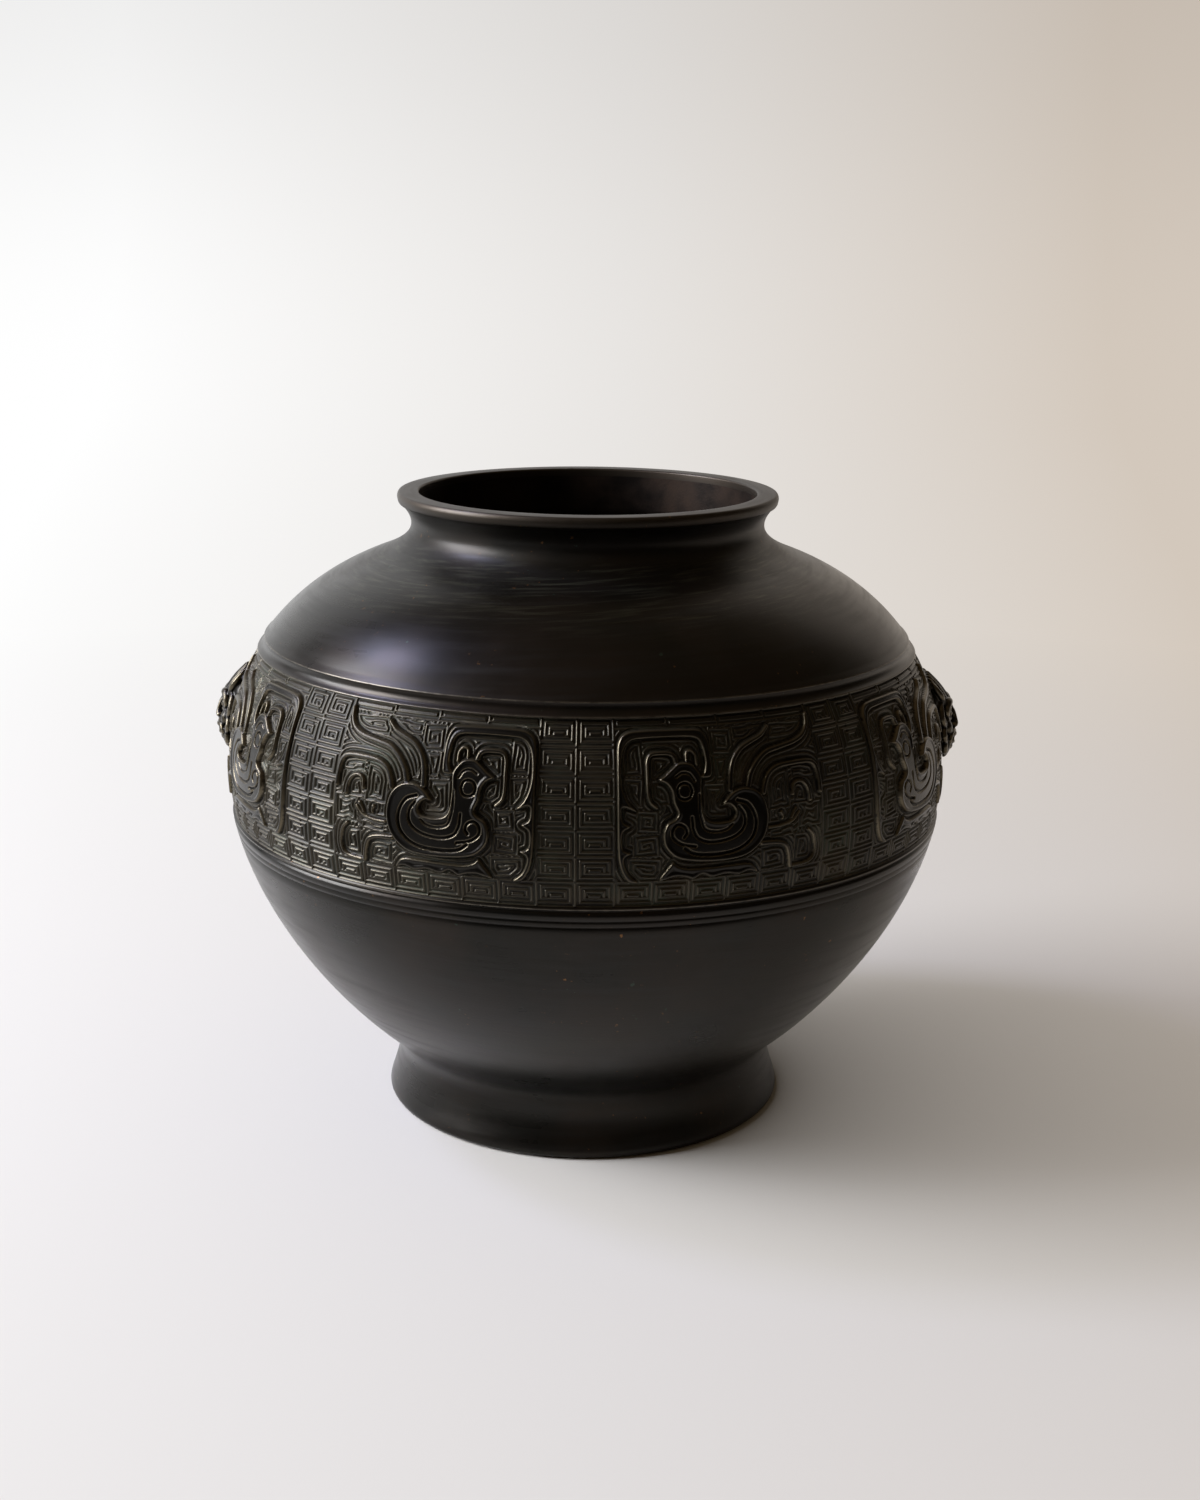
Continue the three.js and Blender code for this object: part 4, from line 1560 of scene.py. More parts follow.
    @staticmethod
    def side(front: Array, behind: Array, kept: Array, flip: bool) -> Array:
        """Joins a fine column of the front to a coarse column of the back.

        Args:
            front: Numbers of the front's points, going up.
            behind: Numbers of the back's points.
            kept: Rows of the front that the back has too.
            flip: Whether the faces turn the other way.

        Returns:
            Triangles.
        """
        near = np.searchsorted(kept, np.arange(len(front) - 1), side="right") - 1
        fine = np.stack([front[:-1], front[1:], behind[near]], -1)
        coarse = np.stack([front[kept[1:]], behind[1:], behind[:-1]], -1)
        faces = np.vstack([fine, coarse])
        return faces[:, ::-1] if flip else faces

    def map_tile(self, piece: Piece, rows: int, columns: int) -> None:
        """Lays the tile's face flat over its texture map, and all the rest in a strip beside it.

        Args:
            piece: The tile.
            rows: Rows of points on its face.
            columns: Points in a row.
        """
        corner = np.empty(len(piece.data.loops), np.int32)
        piece.data.loops.foreach_get("vertex_index", corner)
        number = np.arange(len(corner))
        on_face = number < 4 * (rows - 1) * (columns - 1)
        across = np.where(on_face, self.face_share * (corner % columns) / (columns - 1),
                          self.strip_start + self.strip_width * (number % 2))
        up = np.where(on_face, corner // columns / (rows - 1),
                      number % self.strip_spots / self.strip_spots)
        give_bake_map(piece, across, up)


# The beast masks

@dataclass(frozen=True)
class Lump:
    """An egg of metal on the mask: its centre (across, up, out) and its half sizes, in mm."""

    centre: tuple[float, float, float]
    sizes: tuple[float, float, float]
    lean: float = 0.0


@dataclass(frozen=True)
class Lock:
    """A tapered strand of hair or a ridge through places (across, up, out, half width), in mm."""

    places: tuple[tuple[float, float, float, float], ...]


@dataclass
class BeastMask:
    """A lion-like mask with a combed mane, cast by itself and riveted on."""

    outline: VaseOutline
    centre_height: float = 156.0
    lower_share: float = 0.84
    dome: float = 7.0
    dome_reach: float = 19.5
    dome_give: float = 0.3
    buried: float = 1.9
    voxel: float = 0.36
    smoothing: int = 5
    softness: float = 0.5
    sides: int = 12
    span_steps: int = 6
    caps: tuple[float, ...] = (0.0, 0.35, 0.66, 0.9)
    thinnest: float = 0.02
    evening: int = 3
    # worn_bend: ridges that get the light edge line, partly rubbed wear and partly painted highlight.
    worn_bend: Pair = (0.006, 0.03)
    # hollow_bend and hollow_height: hollows that get the crust and painted shade.
    hollow_bend: Pair = (-0.02, 0.004)
    hollow_height: float = 0.2
    middle: tuple[Lump | Lock, ...] = (
        # skull, forehead and its tuft, nose, muzzle, lip and chin
        Lump((0.0, 0.2, -1.6), (12.6, 17.2, 5.2)),
        Lump((0.0, 8.6, -2.4), (15.6, 9.6, 5.0)),
        Lock(((0.0, 17.4, 0.2, 1.1), (0.0, 12.8, 2.2, 1.7), (0.0, 7.6, 4.0, 1.9), (0.0, 4.2, 5.0, 1.5))),
        Lock(((0.0, 5.2, 4.6, 1.3), (0.0, 1.4, 5.9, 1.6), (0.0, -1.6, 6.5, 1.9))),
        Lump((0.0, -2.3, 6.1), (2.7, 1.8, 2.6)),
        Lump((0.0, -6.6, 3.2), (4.4, 2.6, 3.2)),
        Lock(((-4.6, -10.3, 3.0, 0.9), (-2.2, -11.2, 4.3, 1.1), (2.2, -11.2, 4.3, 1.1),
              (4.6, -10.3, 3.0, 0.9))),
        Lump((0.0, -13.6, 2.2), (3.4, 2.4, 2.5)),
        Lock(((0.0, -13.8, 3.2, 1.2), (0.0, -16.4, 2.0, 1.1), (0.0, -18.2, 0.6, 0.6))),
    )
    paired: tuple[Lump | Lock, ...] = (
        # nostril, upper lip, fang, cheek and eye
        Lump((2.2, -3.0, 5.4), (1.5, 1.3, 1.7)),
        Lump((3.3, -6.8, 3.5), (3.0, 2.1, 2.7), 0.3),
        Lock(((3.5, -8.2, 4.4, 0.75), (3.6, -9.8, 4.6, 0.6), (3.5, -11.0, 4.7, 0.3))),
        Lump((8.0, -2.4, 1.8), (3.2, 4.0, 2.6)),
        Lump((4.8, 2.7, 3.4), (1.8, 1.6, 1.9)),
        # eyelids, then the thick brow with its curl
        Lock(((2.3, 1.8, 4.4, 0.5), (3.2, 4.0, 4.9, 0.6), (5.2, 4.8, 4.7, 0.65), (7.4, 3.0, 3.7, 0.55),
              (8.4, 1.4, 3.2, 0.4))),
        Lock(((2.3, 1.8, 4.4, 0.45), (3.8, 0.6, 4.4, 0.5), (5.8, 0.4, 4.0, 0.5), (8.4, 1.4, 3.2, 0.35))),
        Lock(((1.3, 5.2, 5.1, 1.0), (3.4, 7.2, 5.3, 1.35), (6.6, 7.6, 4.6, 1.5), (9.4, 5.8, 3.4, 1.3),
              (10.0, 3.4, 2.8, 1.0), (8.8, 2.6, 3.2, 0.8))),
        # whisker curl and jaw line
        Lock(((2.9, -4.6, 5.2, 0.6), (5.6, -4.9, 4.7, 0.8), (8.4, -6.2, 3.6, 0.9), (9.6, -8.6, 2.8, 0.9),
              (8.2, -10.4, 2.8, 0.8), (6.6, -9.4, 3.1, 0.7), (7.2, -8.2, 3.1, 0.5))),
        Lock(((5.0, -10.6, 3.0, 0.9), (6.2, -13.0, 2.0, 1.1), (5.0, -16.0, 1.2, 1.0),
              (2.8, -17.6, 0.6, 0.6))),
        # ear, pointed, with a rim
        Lock(((9.6, 8.8, 2.2, 1.3), (11.4, 11.2, 1.8, 1.7), (12.6, 14.2, 1.0, 1.2), (12.9, 16.4, 0.4, 0.5))),
        # mane combed up over the forehead
        Lock(((1.9, 6.6, 4.2, 0.9), (2.4, 10.4, 3.0, 1.2), (2.6, 14.4, 1.5, 1.1), (2.2, 17.6, 0.1, 0.6))),
        Lock(((4.2, 8.2, 3.6, 0.9), (5.0, 11.4, 2.5, 1.2), (5.4, 14.6, 1.1, 1.1), (4.8, 17.2, 0.0, 0.6))),
        Lock(((6.8, 8.6, 2.9, 0.9), (8.0, 11.6, 1.8, 1.1), (8.4, 14.4, 0.7, 1.0), (7.6, 16.6, -0.1, 0.6))),
        Lock(((9.2, 6.6, 2.7, 0.8), (10.4, 9.8, 1.9, 0.9), (10.6, 13.0, 0.9, 0.8), (9.6, 15.4, 0.1, 0.5))),
        # side locks, each ending in a curl
        Lock(((11.2, 7.8, 1.4, 1.0), (13.6, 5.6, 0.8, 1.3), (14.6, 2.0, 0.5, 1.3), (13.0, -0.4, 1.0, 1.0),
              (11.6, 0.8, 1.4, 0.8), (12.0, 2.2, 1.4, 0.6))),
        Lock(((10.6, 0.0, 1.6, 0.9), (13.2, -2.2, 0.7, 1.2), (14.4, -5.6, 0.4, 1.3), (12.8, -8.0, 0.8, 1.0),
              (11.2, -6.8, 1.3, 0.8), (11.6, -5.4, 1.3, 0.6))),
        Lock(((10.4, -7.6, 1.4, 0.9), (12.2, -10.2, 0.6, 1.2), (11.6, -13.4, 0.4, 1.2),
              (9.2, -14.4, 0.7, 0.9), (8.4, -12.8, 1.2, 0.7), (9.4, -11.9, 1.2, 0.5))),
        Lock(((7.2, -12.0, 1.9, 0.8), (7.9, -14.9, 1.0, 1.0), (6.4, -17.0, 0.5, 0.7),
              (4.8, -17.9, 0.2, 0.4))),
    )

    def place(self, spots: Array) -> Array:
        """Sets places of the mask against the wall on the +X side, kept under a dome.

        Args:
            spots: Places as (across, up, out).

        Returns:
            The places in the vase's frame.
        """
        across, up, out = spots.T
        dome = self.dome * np.sqrt(np.maximum(1 - (up / self.dome_reach) ** 2, 0))
        out = np.minimum(out, dome + self.dome_give * (out - dome))
        height = self.centre_height + up * np.where(up < 0, self.lower_share, 1.0)
        radius = self.outline.radius(height) + out
        turn = across / self.outline.belly_radius
        return np.stack([radius * np.cos(turn), radius * np.sin(turn), height], -1)

    @staticmethod
    def ball() -> tuple[Array, Array]:
        """Makes a fine ball.

        Returns:
            Its points and triangles.
        """
        mesh = bmesh.new()
        bmesh.ops.create_icosphere(mesh, subdivisions=4, radius=1)
        spots = np.array([vertex.co[:] for vertex in mesh.verts])
        faces = np.array([[vertex.index for vertex in face.verts] for face in mesh.faces])
        mesh.free()
        return spots, faces

    def lump_shape(self, lump: Lump) -> tuple[Array, Array]:
        """Makes an egg.

        Args:
            lump: Its sizes and place.

        Returns:
            Its points as (across, up, out), and its triangles.
        """
        spots, faces = self.ball()
        return turned_about_z(spots * np.array(lump.sizes), lump.lean) + np.array(lump.centre), faces

    def rounded(self, line: Array) -> tuple[Array, Array]:
        """Rounds both ends of a strand.

        Args:
            line: Places along it, each with its half width.

        Returns:
            The longer line, and its direction at each place.
        """
        run = np.gradient(line[:, :3], axis=0)
        run /= np.linalg.norm(run, axis=1, keepdims=True)
        first, last, caps = line[0], line[-1], np.array(self.caps)
        count = len(caps)
        start = np.tile(first, (count, 1))
        end = np.tile(last, (count, 1))
        start[:, :3] -= run[0] * (np.sqrt(1 - caps ** 2) * first[3])[:, None]
        start[:, 3] = np.maximum(caps, self.thinnest) * first[3]
        end[:, :3] += run[-1] * (np.sqrt(1 - caps[::-1] ** 2) * last[3])[:, None]
        end[:, 3] = np.maximum(caps[::-1], self.thinnest) * last[3]
        run = np.vstack([np.tile(run[0], (count, 1)), run, np.tile(run[-1], (count, 1))])
        return np.vstack([start, line, end]), run

    def lock_shape(self, lock: Lock) -> tuple[Array, Array]:
        """Makes a strand.

        Args:
            lock: The places that it runs through.

        Returns:
            Its points as (across, up, out), and its triangles.
        """
        line, run = self.rounded(smooth_line(lock.places, per_span=self.span_steps))
        across = np.cross(run, np.array([0.0, 0.0, 1.0]))
        across /= np.maximum(np.linalg.norm(across, axis=1, keepdims=True), 1e-6)
        over = np.cross(across, run)
        angle = np.arange(self.sides) * 2 * math.pi / self.sides
        ring = (across[:, None] * np.cos(angle)[None, :, None]
                + over[:, None] * np.sin(angle)[None, :, None])
        spots = (line[:, None, :3] + ring * line[:, None, 3:]).reshape(-1, 3)
        quads = grid_faces(len(line), self.sides, wrap_columns=True)
        faces = np.vstack([quads[:, [0, 1, 2]], quads[:, [0, 2, 3]]])
        fan = np.arange(1, self.sides - 1)
        last_ring = len(spots) - self.sides
        near = np.stack([np.zeros_like(fan), fan + 1, fan], -1)
        far = last_ring + np.stack([np.zeros_like(fan), fan, fan + 1], -1)
        return spots, np.vstack([faces, near, far])

    def shapes(self) -> list[tuple[Array, Array]]:
        """Makes every lump and lock of the whole face.

        Returns:
            Points and triangles of each.
        """
        made = []
        for item in self.middle + self.paired:
            spots, faces = self.lump_shape(item) if isinstance(item, Lump) else self.lock_shape(item)
            made.append((spots, faces))
            if item in self.paired:
                made.append((spots * np.array([-1, 1, 1]), faces[:, ::-1]))
        return made

    def fuse(self) -> bpy.types.Mesh:
        """Grows one skin over the face's shapes.

        Returns:
            The mask's mesh on the +X side.
        """
        spots, faces, count = [], [], 0
        for shape, corners in self.shapes():
            spots.append(self.place(shape))
            faces.append(corners + count)
            count += len(shape)
        rough = mesh_piece("mask_rough", np.vstack(spots), np.vstack(faces))
        skin = rough.modifiers.new("skin", "REMESH")
        skin.mode = "VOXEL"
        skin.voxel_size = self.voxel * MM
        soft = rough.modifiers.new("soft", "SMOOTH")
        soft.iterations = self.smoothing
        soft.factor = self.softness
        graph = bpy.context.evaluated_depsgraph_get()
        mesh = bpy.data.meshes.new_from_object(rough.evaluated_get(graph))
        bpy.data.objects.remove(rough)
        return mesh

    def build(self, name: str, side: Side, finish: Material) -> Piece:
        """Fuses the mask and sets its back into the relief.

        Args:
            name: The piece's name.
            side: The side of the vase that it is on.
            finish: Its material.

        Returns:
            The mask.
        """
        mesh = self.fuse()
        mesh.name = name
        self.seat(mesh, side)
        mesh.polygons.foreach_set("use_smooth", np.ones(len(mesh.polygons), bool))
        mesh.materials.clear()
        mesh.materials.append(finish)
        return linked(name, mesh)

    def bend(self, mesh: bpy.types.Mesh, spots: Array) -> Array:
        """Finds how sharply the skin turns over, evened out among neighbours.

        Args:
            mesh: The mask's mesh.
            spots: Its points in mm.

        Returns:
            The bend at each point, above 0 on ridges and below 0 in hollows.
        """
        pairs = np.empty(len(mesh.edges) * 2, np.int32)
        mesh.edges.foreach_get("vertices", pairs)
        first, second = pairs.reshape(-1, 2).T
        bend = np.zeros((len(spots), 3))
        near = np.zeros(len(spots))
        for one, other in ((first, second), (second, first)):
            np.add.at(bend, one, spots[one] - spots[other])
            np.add.at(near, one, 1)
        near = np.maximum(near, 1)
        bend = (bend / near[:, None] * read_points(mesh, "normal")).sum(1)
        for _ in range(self.evening):
            total = np.zeros(len(spots))
            np.add.at(total, first, bend[second])
            np.add.at(total, second, bend[first])
            bend = (bend + total / near) / 2
        return bend

    def seat(self, mesh: bpy.types.Mesh, side: Side) -> None:
        """Flattens the mask's back along the wall, stores its light edge line and its hollows for the
        material, and turns it to its side.

        Args:
            mesh: The mask's mesh.
            side: The side of the vase.
        """
        spots = read_points(mesh, "co") / MM
        reach = np.hypot(spots[:, 0], spots[:, 1])
        seat = self.outline.radius(spots[:, 2]) - self.buried
        spots[:, :2] *= np.maximum(seat / reach, 1)[:, None]
        bend = self.bend(mesh, spots)
        # Hollows get a low height, so the material crusts them and paints them darker as painted shade;
        # ridges get the light edge line, partly rubbed wear and partly painted highlight.
        raised = fade(bend, *self.hollow_bend)
        carry(mesh, "worn", fade(bend, *self.worn_bend))
        carry(mesh, "height", self.hollow_height + (1 - self.hollow_height) * raised)
        turned = turned_about_z(spots, side.value)
        mesh.vertices.foreach_set("co", (turned * MM).astype(np.float32).ravel())
        mesh.update()


# Inside and underneath

@dataclass
class Rivet:
    """A rivet that holds a mask: its shank in the wall and a hammered head inside."""

    outline: VaseOutline
    shank_radius: float = 1.5
    head_radius: float = 3.4
    head_height: float = 1.7
    bite: float = 3.2
    seat: float = -2.4
    band_depth: float = 0.9
    spread: float = 17.0
    centre_height: float = 156.0
    chamfer: float = 0.2
    pole: float = 0.02
    dome_points: int = 16
    dent: float = 0.16
    dent_edge: float = 0.1
    dent_turns: Pair = (2.1, 1.9)
    segments: int = 40

    def build(self, side: Side, level: Level, finish: Material) -> Piece:
        """Spins the rivet, dents its head with a hammer and sets it square to the wall.

        Args:
            side: The side of the vase.
            level: Which of the two it is.
            finish: Its material.

        Returns:
            The rivet.
        """
        angle = np.linspace(-math.pi / 2, 0, self.dome_points)
        dome = np.stack([self.head_radius * np.cos(angle),
                         self.seat + self.head_height * np.sin(angle)], -1)
        dome[0, 0] = self.pole
        shank = np.array([(self.shank_radius + self.chamfer, self.seat),
                          (self.shank_radius, self.seat + self.chamfer),
                          (self.shank_radius, self.bite - self.chamfer),
                          (self.shank_radius - self.chamfer, self.bite), (self.pole, self.bite)])
        name = f"hammered_rivet_{word(side)}_{word(level)}"
        piece = spun(name, np.vstack([dome, shank]), self.segments)
        height = self.centre_height + self.spread * level.value
        tilt = self.outline.tilt(height)
        across, along = self.dent_turns
        for vertex in piece.data.vertices:
            x, y, z = vertex.co / MM
            if z < self.seat - self.dent_edge:
                blow = math.sin(across * x + side.value) * math.cos(along * y + height)
                vertex.co.z += self.dent * blow * MM
        radius = float(self.outline.radius(np.array([height]))[0]) - self.band_depth
        stand = Matrix.Translation((radius * MM, 0, height * MM))
        square = Matrix.Rotation(math.pi / 2 - tilt, 4, "Y")
        piece.data.transform(Matrix.Rotation(side.value, 4, "Z") @ stand @ square)
        piece.data.materials.append(finish)
        return piece


@dataclass
class BasePlate:
    """The turned plate that closes the bottom, and the solder that holds it."""

    outline: VaseOutline
    clearance: float = 0.3
    flange: float = 3.0
    solder_leg: float = 3.0
    chamfer: float = 0.4
    plain_edge: float = 1.0
    ring_pitch: float = 1.6
    ring_points: int = 4
    ring_depth: float = 0.12
    solder_points: int = 12
    solder_sag: float = 0.92
    solder_edge: float = 0.1
    wave_depth: float = 0.12
    # each wave: how often round the plate, its start and its share
    waves: tuple[tuple[int, float, float], ...] = ((23, 0.0, 1.0), (57, 1.0, 0.5))
    segments: int = 160

    @property
    def bottom(self) -> float:
        """Height of the plate's underside."""
        return self.outline.ledge_height - self.flange

    def build(self, finish: Material) -> Piece:
        """Spins the plate, with the fine steps of a lathe tool above and below.

        Args:
            finish: Its material.

        Returns:
            The plate.
        """
        shape = self.outline
        spigot = shape.ledge_radius - self.clearance
        edge = shape.foot_inner_radius - self.clearance
        top = shape.ledge_height + shape.ledge_thickness
        radii = np.arange(self.chamfer, spigot - self.plain_edge, self.ring_pitch / self.ring_points)
        step = self.ring_depth * (np.arange(len(radii)) % self.ring_points == 1)
        under = np.stack([radii, self.bottom + step], -1)
        over = np.stack([radii, top - step], -1)[::-1]
        rim = np.array([(edge - self.chamfer, self.bottom), (edge, self.bottom + self.chamfer),
                        (edge, shape.ledge_height), (spigot, shape.ledge_height),
                        (spigot, top - self.chamfer), (spigot - self.chamfer, top)])
        piece = spun("turned_base_plate", np.vstack([under, rim, over]), self.segments)
        piece.data.materials.append(finish)
        return piece

    def solder(self, finish: Material) -> Piece:
        """Spins the solder's fillet with the small waves left as it set.

        Args:
            finish: Its material.

        Returns:
            The fillet.
        """
        edge = self.outline.foot_inner_radius - self.clearance
        angle = np.radians(np.linspace(0, 90, self.solder_points))
        leg = self.solder_leg
        hollow = np.stack([edge - leg + leg * np.sin(angle) * self.solder_sag,
                           self.bottom - leg + leg * np.cos(angle) * self.solder_sag], -1)
        corner = np.array([(edge, self.bottom - leg), (edge, self.bottom), (edge - leg, self.bottom)])
        piece = spun("solder_fillet", np.vstack([corner, hollow]), self.segments)
        inner, lower = edge - self.solder_edge, self.bottom - self.solder_edge
        for vertex in piece.data.vertices:
            x, y, z = vertex.co
            if math.hypot(x, y) < inner * MM and z < lower * MM:
                turn = math.atan2(y, x)
                wave = sum(weight * math.sin(count * turn + start) for count, start, weight in self.waves)
                vertex.co.z += self.wave_depth * MM * wave
        piece.data.materials.append(finish)
        return piece


# The studio

@dataclass(frozen=True)
class Lamp:
    """A soft lamp that hangs in a direction from the vase and faces it."""

    name: str
    direction: tuple[float, float, float]
    distance: float
    width: float
    height: float
    watts: float
    colour: str = "#ffffff"

    def hang(self, target: Vector) -> None:
        """Makes the lamp.

        Args:
            target: The place that it faces.
        """
        light = bpy.data.lights.new(self.name, "AREA")
        light.shape = "RECTANGLE"
        light.size = self.width
        light.size_y = self.height
        light.energy = self.watts
        light.color = linear(self.colour)[:3]
        lamp = linked(self.name, light)
        towards = Vector(self.direction).normalized()
        lamp.location = target + towards * self.distance
        lamp.rotation_euler = towards.to_track_quat("Z", "Y").to_euler()


@dataclass
class Studio:
    """A seamless pale sweep, a window-like light from the left, and the camera."""

    focal_share: float = 2128.97 / 1500
    sensor: float = 36.0
    distance: float = 820.5
    eye_height: float = 355.6
    look_down: float = 14.709
    look_right: float = -0.939
    tilt: float = 0.5786
    stands_right: float = 1.33
    clip: Pair = (0.05, 50.0)
    sweep_width: float = 9.0
    sweep_front: float = -4.0
    sweep_bend: float = 2.6
    sweep_radius: float = 1.4
    sweep_top: float = 5.0
    sweep_points: int = 25
    paper: str = "#dad6cf"
    # The glow's colours are painted light: white on the window's side, warm grey away from it.
    glow_middle: str = "#e8e5e2"
    glow_window_side: Tint = Tint("#ffffff")
    glow_far_side: Tint = Tint("#d3c8bc")
    # Painted shade: the glow darkens higher up, and in front of the vase where the metal sees it in
    # reflection.
    glow_high_shade: Tint = Tint("#6a625a", 0.17)
    glow_front_shade: Tint = Tint("#23211f")
    fibres: Patches = Patches(3.0)
    fibre_depth: float = 0.05
    fibre_strength: float = 0.2
    glow_reach: Pair = (80.0, 1000.0)
    glow_rise: float = 0.48
    half_widths: Pair = (450.0, 1300.0)
    far_depth: float = 4000.0
    side_reach: Pair = (-0.85, 0.78)
    front_shade_reach: Pair = (300.0, 500.0)
    high_shade_reach: Pair = (0.0, 900.0)
    room: str = "#ffe0b6"
    room_light: Pair = (0.02, 0.17)
    lamp_target: float = 120.0
    lamps: tuple[Lamp, ...] = (
        Lamp("window", (-0.88, -0.07, 0.42), 2.2, 1.2, 1.2, 101.0, "#f3f6ff"),
        Lamp("sky", (-0.66, 0.11, 0.74), 1.9, 0.34, 0.30, 11.5, "#c8d0ff"),
        Lamp("curtain", (-0.76, 0.24, 0.60), 1.9, 0.4, 0.4, 0.9, "#f2cfc4"),
    )

    def camera(self) -> None:
        """Places the camera as the photograph was taken."""
        data = bpy.data.cameras.new("camera")
        data.sensor_fit = "VERTICAL"
        data.sensor_height = self.sensor
        data.lens = self.focal_share * self.sensor
        data.clip_start, data.clip_end = self.clip
        down, right_turn, roll = [math.radians(a) for a in (self.look_down, self.look_right, self.tilt)]
        ahead = Vector((math.sin(right_turn) * math.cos(down), math.cos(right_turn) * math.cos(down),
                        -math.sin(down)))
        right = Vector((math.cos(right_turn), -math.sin(right_turn), 0))
        up = right.cross(ahead)
        across = right * math.cos(roll) + up * math.sin(roll)
        upright = up * math.cos(roll) - right * math.sin(roll)
        place = math.radians(self.stands_right)
        eye = Vector((math.sin(place) * self.distance, -math.cos(place) * self.distance,
                      self.eye_height)) * MM
        frame = Matrix((across, upright, -ahead)).transposed().to_4x4()
        camera = linked("camera", data)
        camera.matrix_world = Matrix.Translation(eye) @ frame
        bpy.context.scene.camera = camera

    def sweep(self) -> None:
        """Lays the seamless paper: floor, bend and backdrop."""
        bend = np.radians(np.linspace(0, 90, self.sweep_points))
        curve = np.stack([self.sweep_bend + self.sweep_radius * np.sin(bend),
                          self.sweep_radius * (1 - np.cos(bend))], -1)
        ends = np.array([[self.sweep_front, 0.0]]), np.array([[curve[-1, 0], self.sweep_top]])
        line = np.vstack([ends[0], curve, ends[1]]) / MM
        half = self.sweep_width / 2 / MM
        spots = np.array([(x, y, z) for y, z in line for x in (-half, half)])
        paper = mesh_piece("paper_sweep", spots, grid_faces(len(line), 2))
        paper.data.materials.append(self.paper_finish())

    def paper_finish(self) -> Material:
        """Matt paper, lit by the lamps, that fades away from the vase into a painted glow from white to warm
        grey.

        Near the vase the lamps light it, so it keeps the vase's shadow, which a little painted glow
        lightens. Further off the eye and the metal see the painted glow: painted light that is whitest on
        the window's side and warm grey away from it, with painted shade higher up and in front of the vase.

        Returns:
            The material.
        """
        look = Shading("paper_with_painted_glow")
        across, depth = [look.node("ShaderNodeVectorMath", {0: look.place, 1: axis}, out="Value",
                                   operation="DOT_PRODUCT") for axis in ((1, 0, 0), (0, 1, 0))]
        width = look.node("ShaderNodeMapRange", {
            "Value": depth, "From Max": self.far_depth,
            "To Min": self.half_widths[0], "To Max": self.half_widths[1]})
        side = look.node("ShaderNodeMath", {0: across, 1: width}, operation="DIVIDE")
        left, right = [look.node("ShaderNodeMapRange", {"Value": side, "From Max": reach})
                       for reach in self.side_reach]
        # Painted light: the glow is white on the window's side and warm grey away from it, with painted
        # shade higher up and in front of the vase.
        glow = look.painted(
            self.glow_middle,
            (left, self.glow_window_side),
            (right, self.glow_far_side),
            (look.between((0, 0, 1), *self.high_shade_reach), self.glow_high_shade),
            (look.between((0, -1, 0), *self.front_shade_reach), self.glow_front_shade))
        # The painted glow's share grows with distance from the vase. Near the vase a little of it lies over
        # the floor shadow and lightens it.
        flat = look.node("ShaderNodeVectorMath", {0: look.place, 1: (1, 1, 0)}, operation="MULTIPLY")
        reach = look.node("ShaderNodeVectorMath", {0: flat}, out="Value", operation="LENGTH")
        away = look.node("ShaderNodeMapRange", {
            "Value": reach, "From Min": self.glow_reach[0], "From Max": self.glow_reach[1]})
        far = look.node("ShaderNodeMath", {0: away, 1: self.glow_rise}, operation="POWER")
        seen = look.node("ShaderNodeLightPath", out="Is Camera Ray")
        for ray in ("Is Glossy Ray", "Is Transmission Ray"):
            also = look.node("ShaderNodeLightPath", out=ray)
            seen = look.node("ShaderNodeMath", {0: seen, 1: also}, operation="MAXIMUM")
        share = look.node("ShaderNodeMath", {0: far, 1: seen}, operation="MULTIPLY")
        bump = look.node("ShaderNodeBump", {
            "Height": look.patches(self.fibres), "Distance": self.fibre_depth * MM,
            "Strength": self.fibre_strength})
        lit = look.node("ShaderNodeBsdfDiffuse", {"Color": linear(self.paper), "Normal": bump})
        glowing = look.node("ShaderNodeEmission", {"Color": glow})
        both = look.node("ShaderNodeMixShader", {0: share, 1: lit, 2: glowing})
        look.node("ShaderNodeOutputMaterial", {"Surface": both})
        return look.material

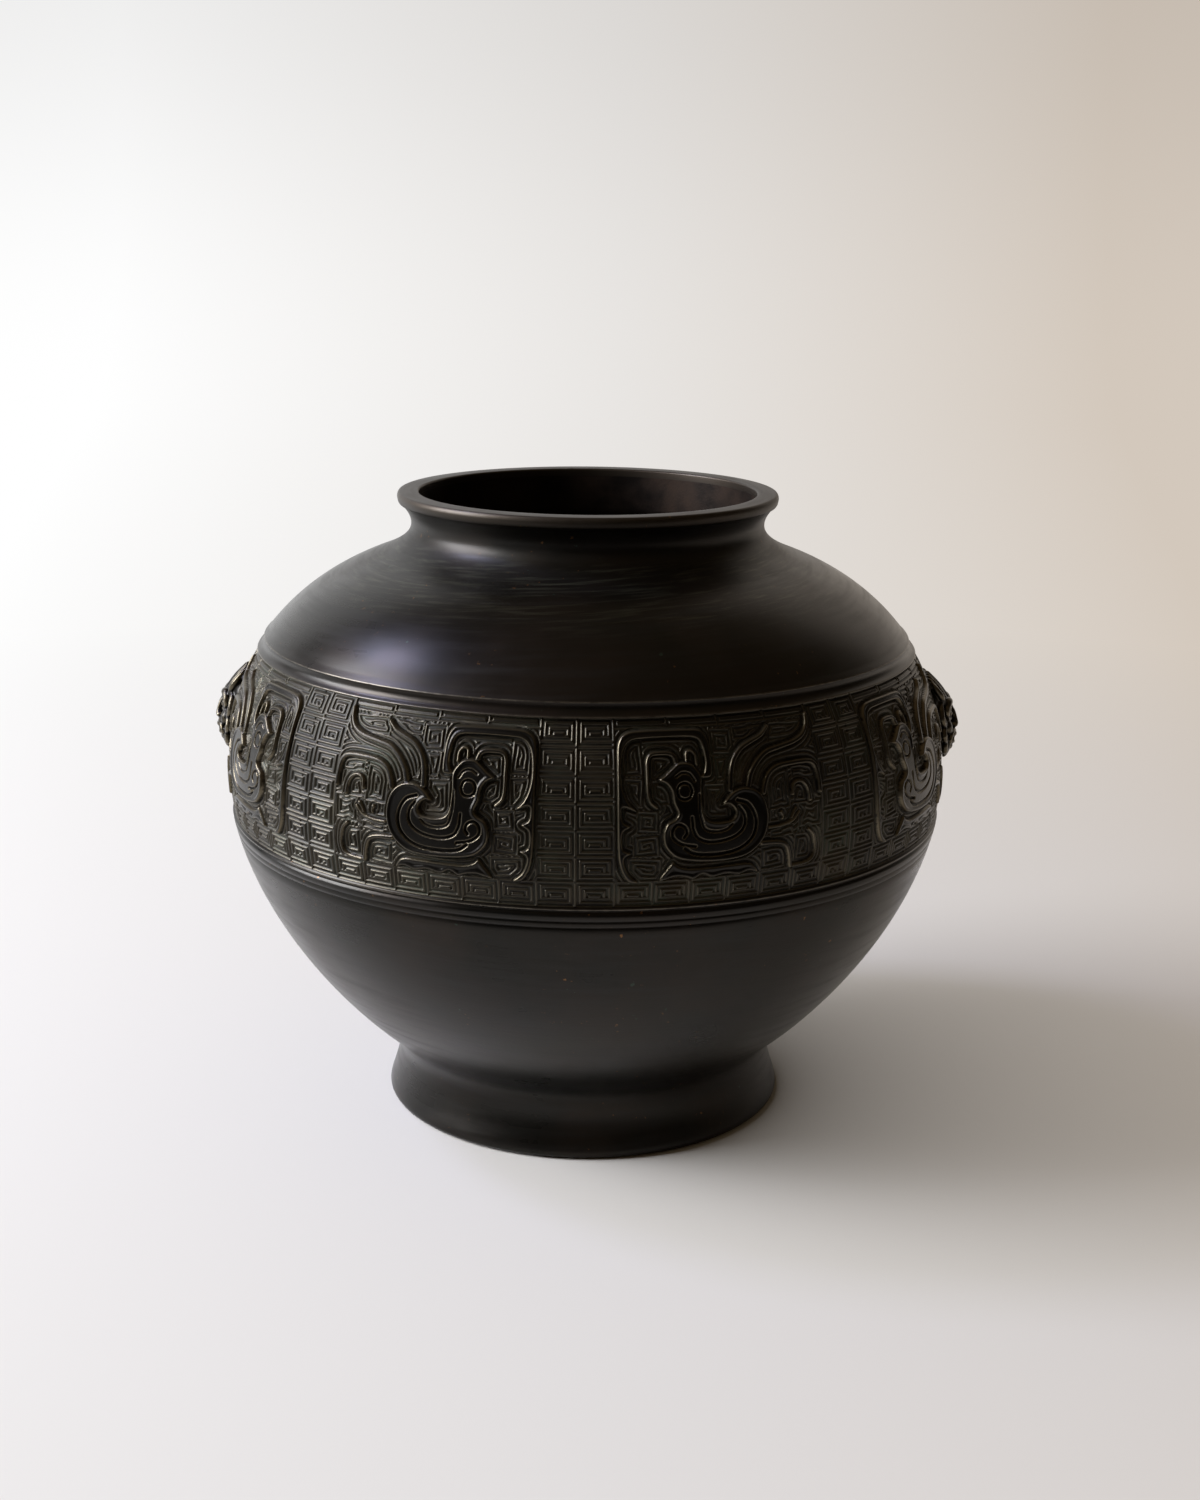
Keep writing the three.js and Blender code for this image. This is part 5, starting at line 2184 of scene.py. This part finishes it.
    def world(self) -> None:
        """A dim room all round, dark at eye level and lighter overhead."""
        world = bpy.data.worlds.new("room")
        world.use_nodes = True
        world.node_tree.nodes.clear()
        node = partial(add_node, world.node_tree)
        towards = node("ShaderNodeTexCoord", out="Generated")
        rise = node("ShaderNodeVectorMath", {0: towards, 1: (0, 0, 1)}, out="Value",
                    operation="DOT_PRODUCT")
        light = node("ShaderNodeMapRange", {
            "Value": rise, "To Min": self.room_light[0], "To Max": self.room_light[1]})
        back = node("ShaderNodeBackground", {"Color": linear(self.room), "Strength": light})
        node("ShaderNodeOutputWorld", {"Surface": back})
        bpy.context.scene.world = world

    def build(self) -> None:
        """Sets up everything round the vase."""
        self.camera()
        self.sweep()
        self.world()
        for lamp in self.lamps:
            lamp.hang(Vector((0, 0, self.lamp_target * MM)))
        bpy.context.scene.view_settings.view_transform = "Standard"


def dress(piece: Piece, slot: str, *nodes: str) -> None:
    """Makes a piece part of the vase.

    Args:
        piece: The piece, which rides on the body.
        slot: Not used.
        *nodes: The nodes that it replaces.
    """
    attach(piece, BODY)
    if nodes:
        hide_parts(*nodes)
    log.info("%s: %d faces", piece.name, len(piece.data.polygons))


def main() -> None:
    """Builds the vase and its studio."""
    logging.basicConfig(level=logging.INFO, format="%(name)s: %(message)s")
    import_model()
    Studio().build()

    outline, band = VaseOutline(), BandLayout()
    patina = PatinatedBronze().make()
    hollow = PlainMetal("raw_bronze_inside", "#1d1713", Tint("#2e231b"), grain=Patches(0.9)).make()
    relief = ReliefBronze().make()
    dress(Casting(outline, band).build(patina, hollow), "body_bronze", "vase_body")
    for tile in ReliefBand(outline, band).build(relief):
        dress(tile, "body_bronze")

    rivet_finish = PlainMetal("hammered_bronze", "#2c231b", Tint("#44362a"), grain_depth=0.05).make()
    for side in Side:
        mask = BeastMask(outline).build(f"beast_mask_{word(side)}", side, relief)
        dress(mask, "mask_bronze", f"mask_{word(side)}")
        for level in Level:
            rivet = Rivet(outline).build(side, level, rivet_finish)
            dress(rivet, "rivet_bronze", f"rivet_{word(side)}_{word(level)}")

    base = BasePlate(outline)
    dress(base.build(PlainMetal("turned_bronze", turned=True).make()), "plate_bronze", "base_plate")
    solder = PlainMetal("soft_solder", "#4a4844", Tint("#6a675f"), roughness=(0.4, 0.6),
                        metallic=0.7, clouds=Patches(9.0, 0.35, 0.65, 4.0), grain=Patches(0.8),
                        grain_depth=0.04)
    dress(base.solder(solder.make()), "solder", "base_solder_ring")


if __name__ == "__main__":
    main()
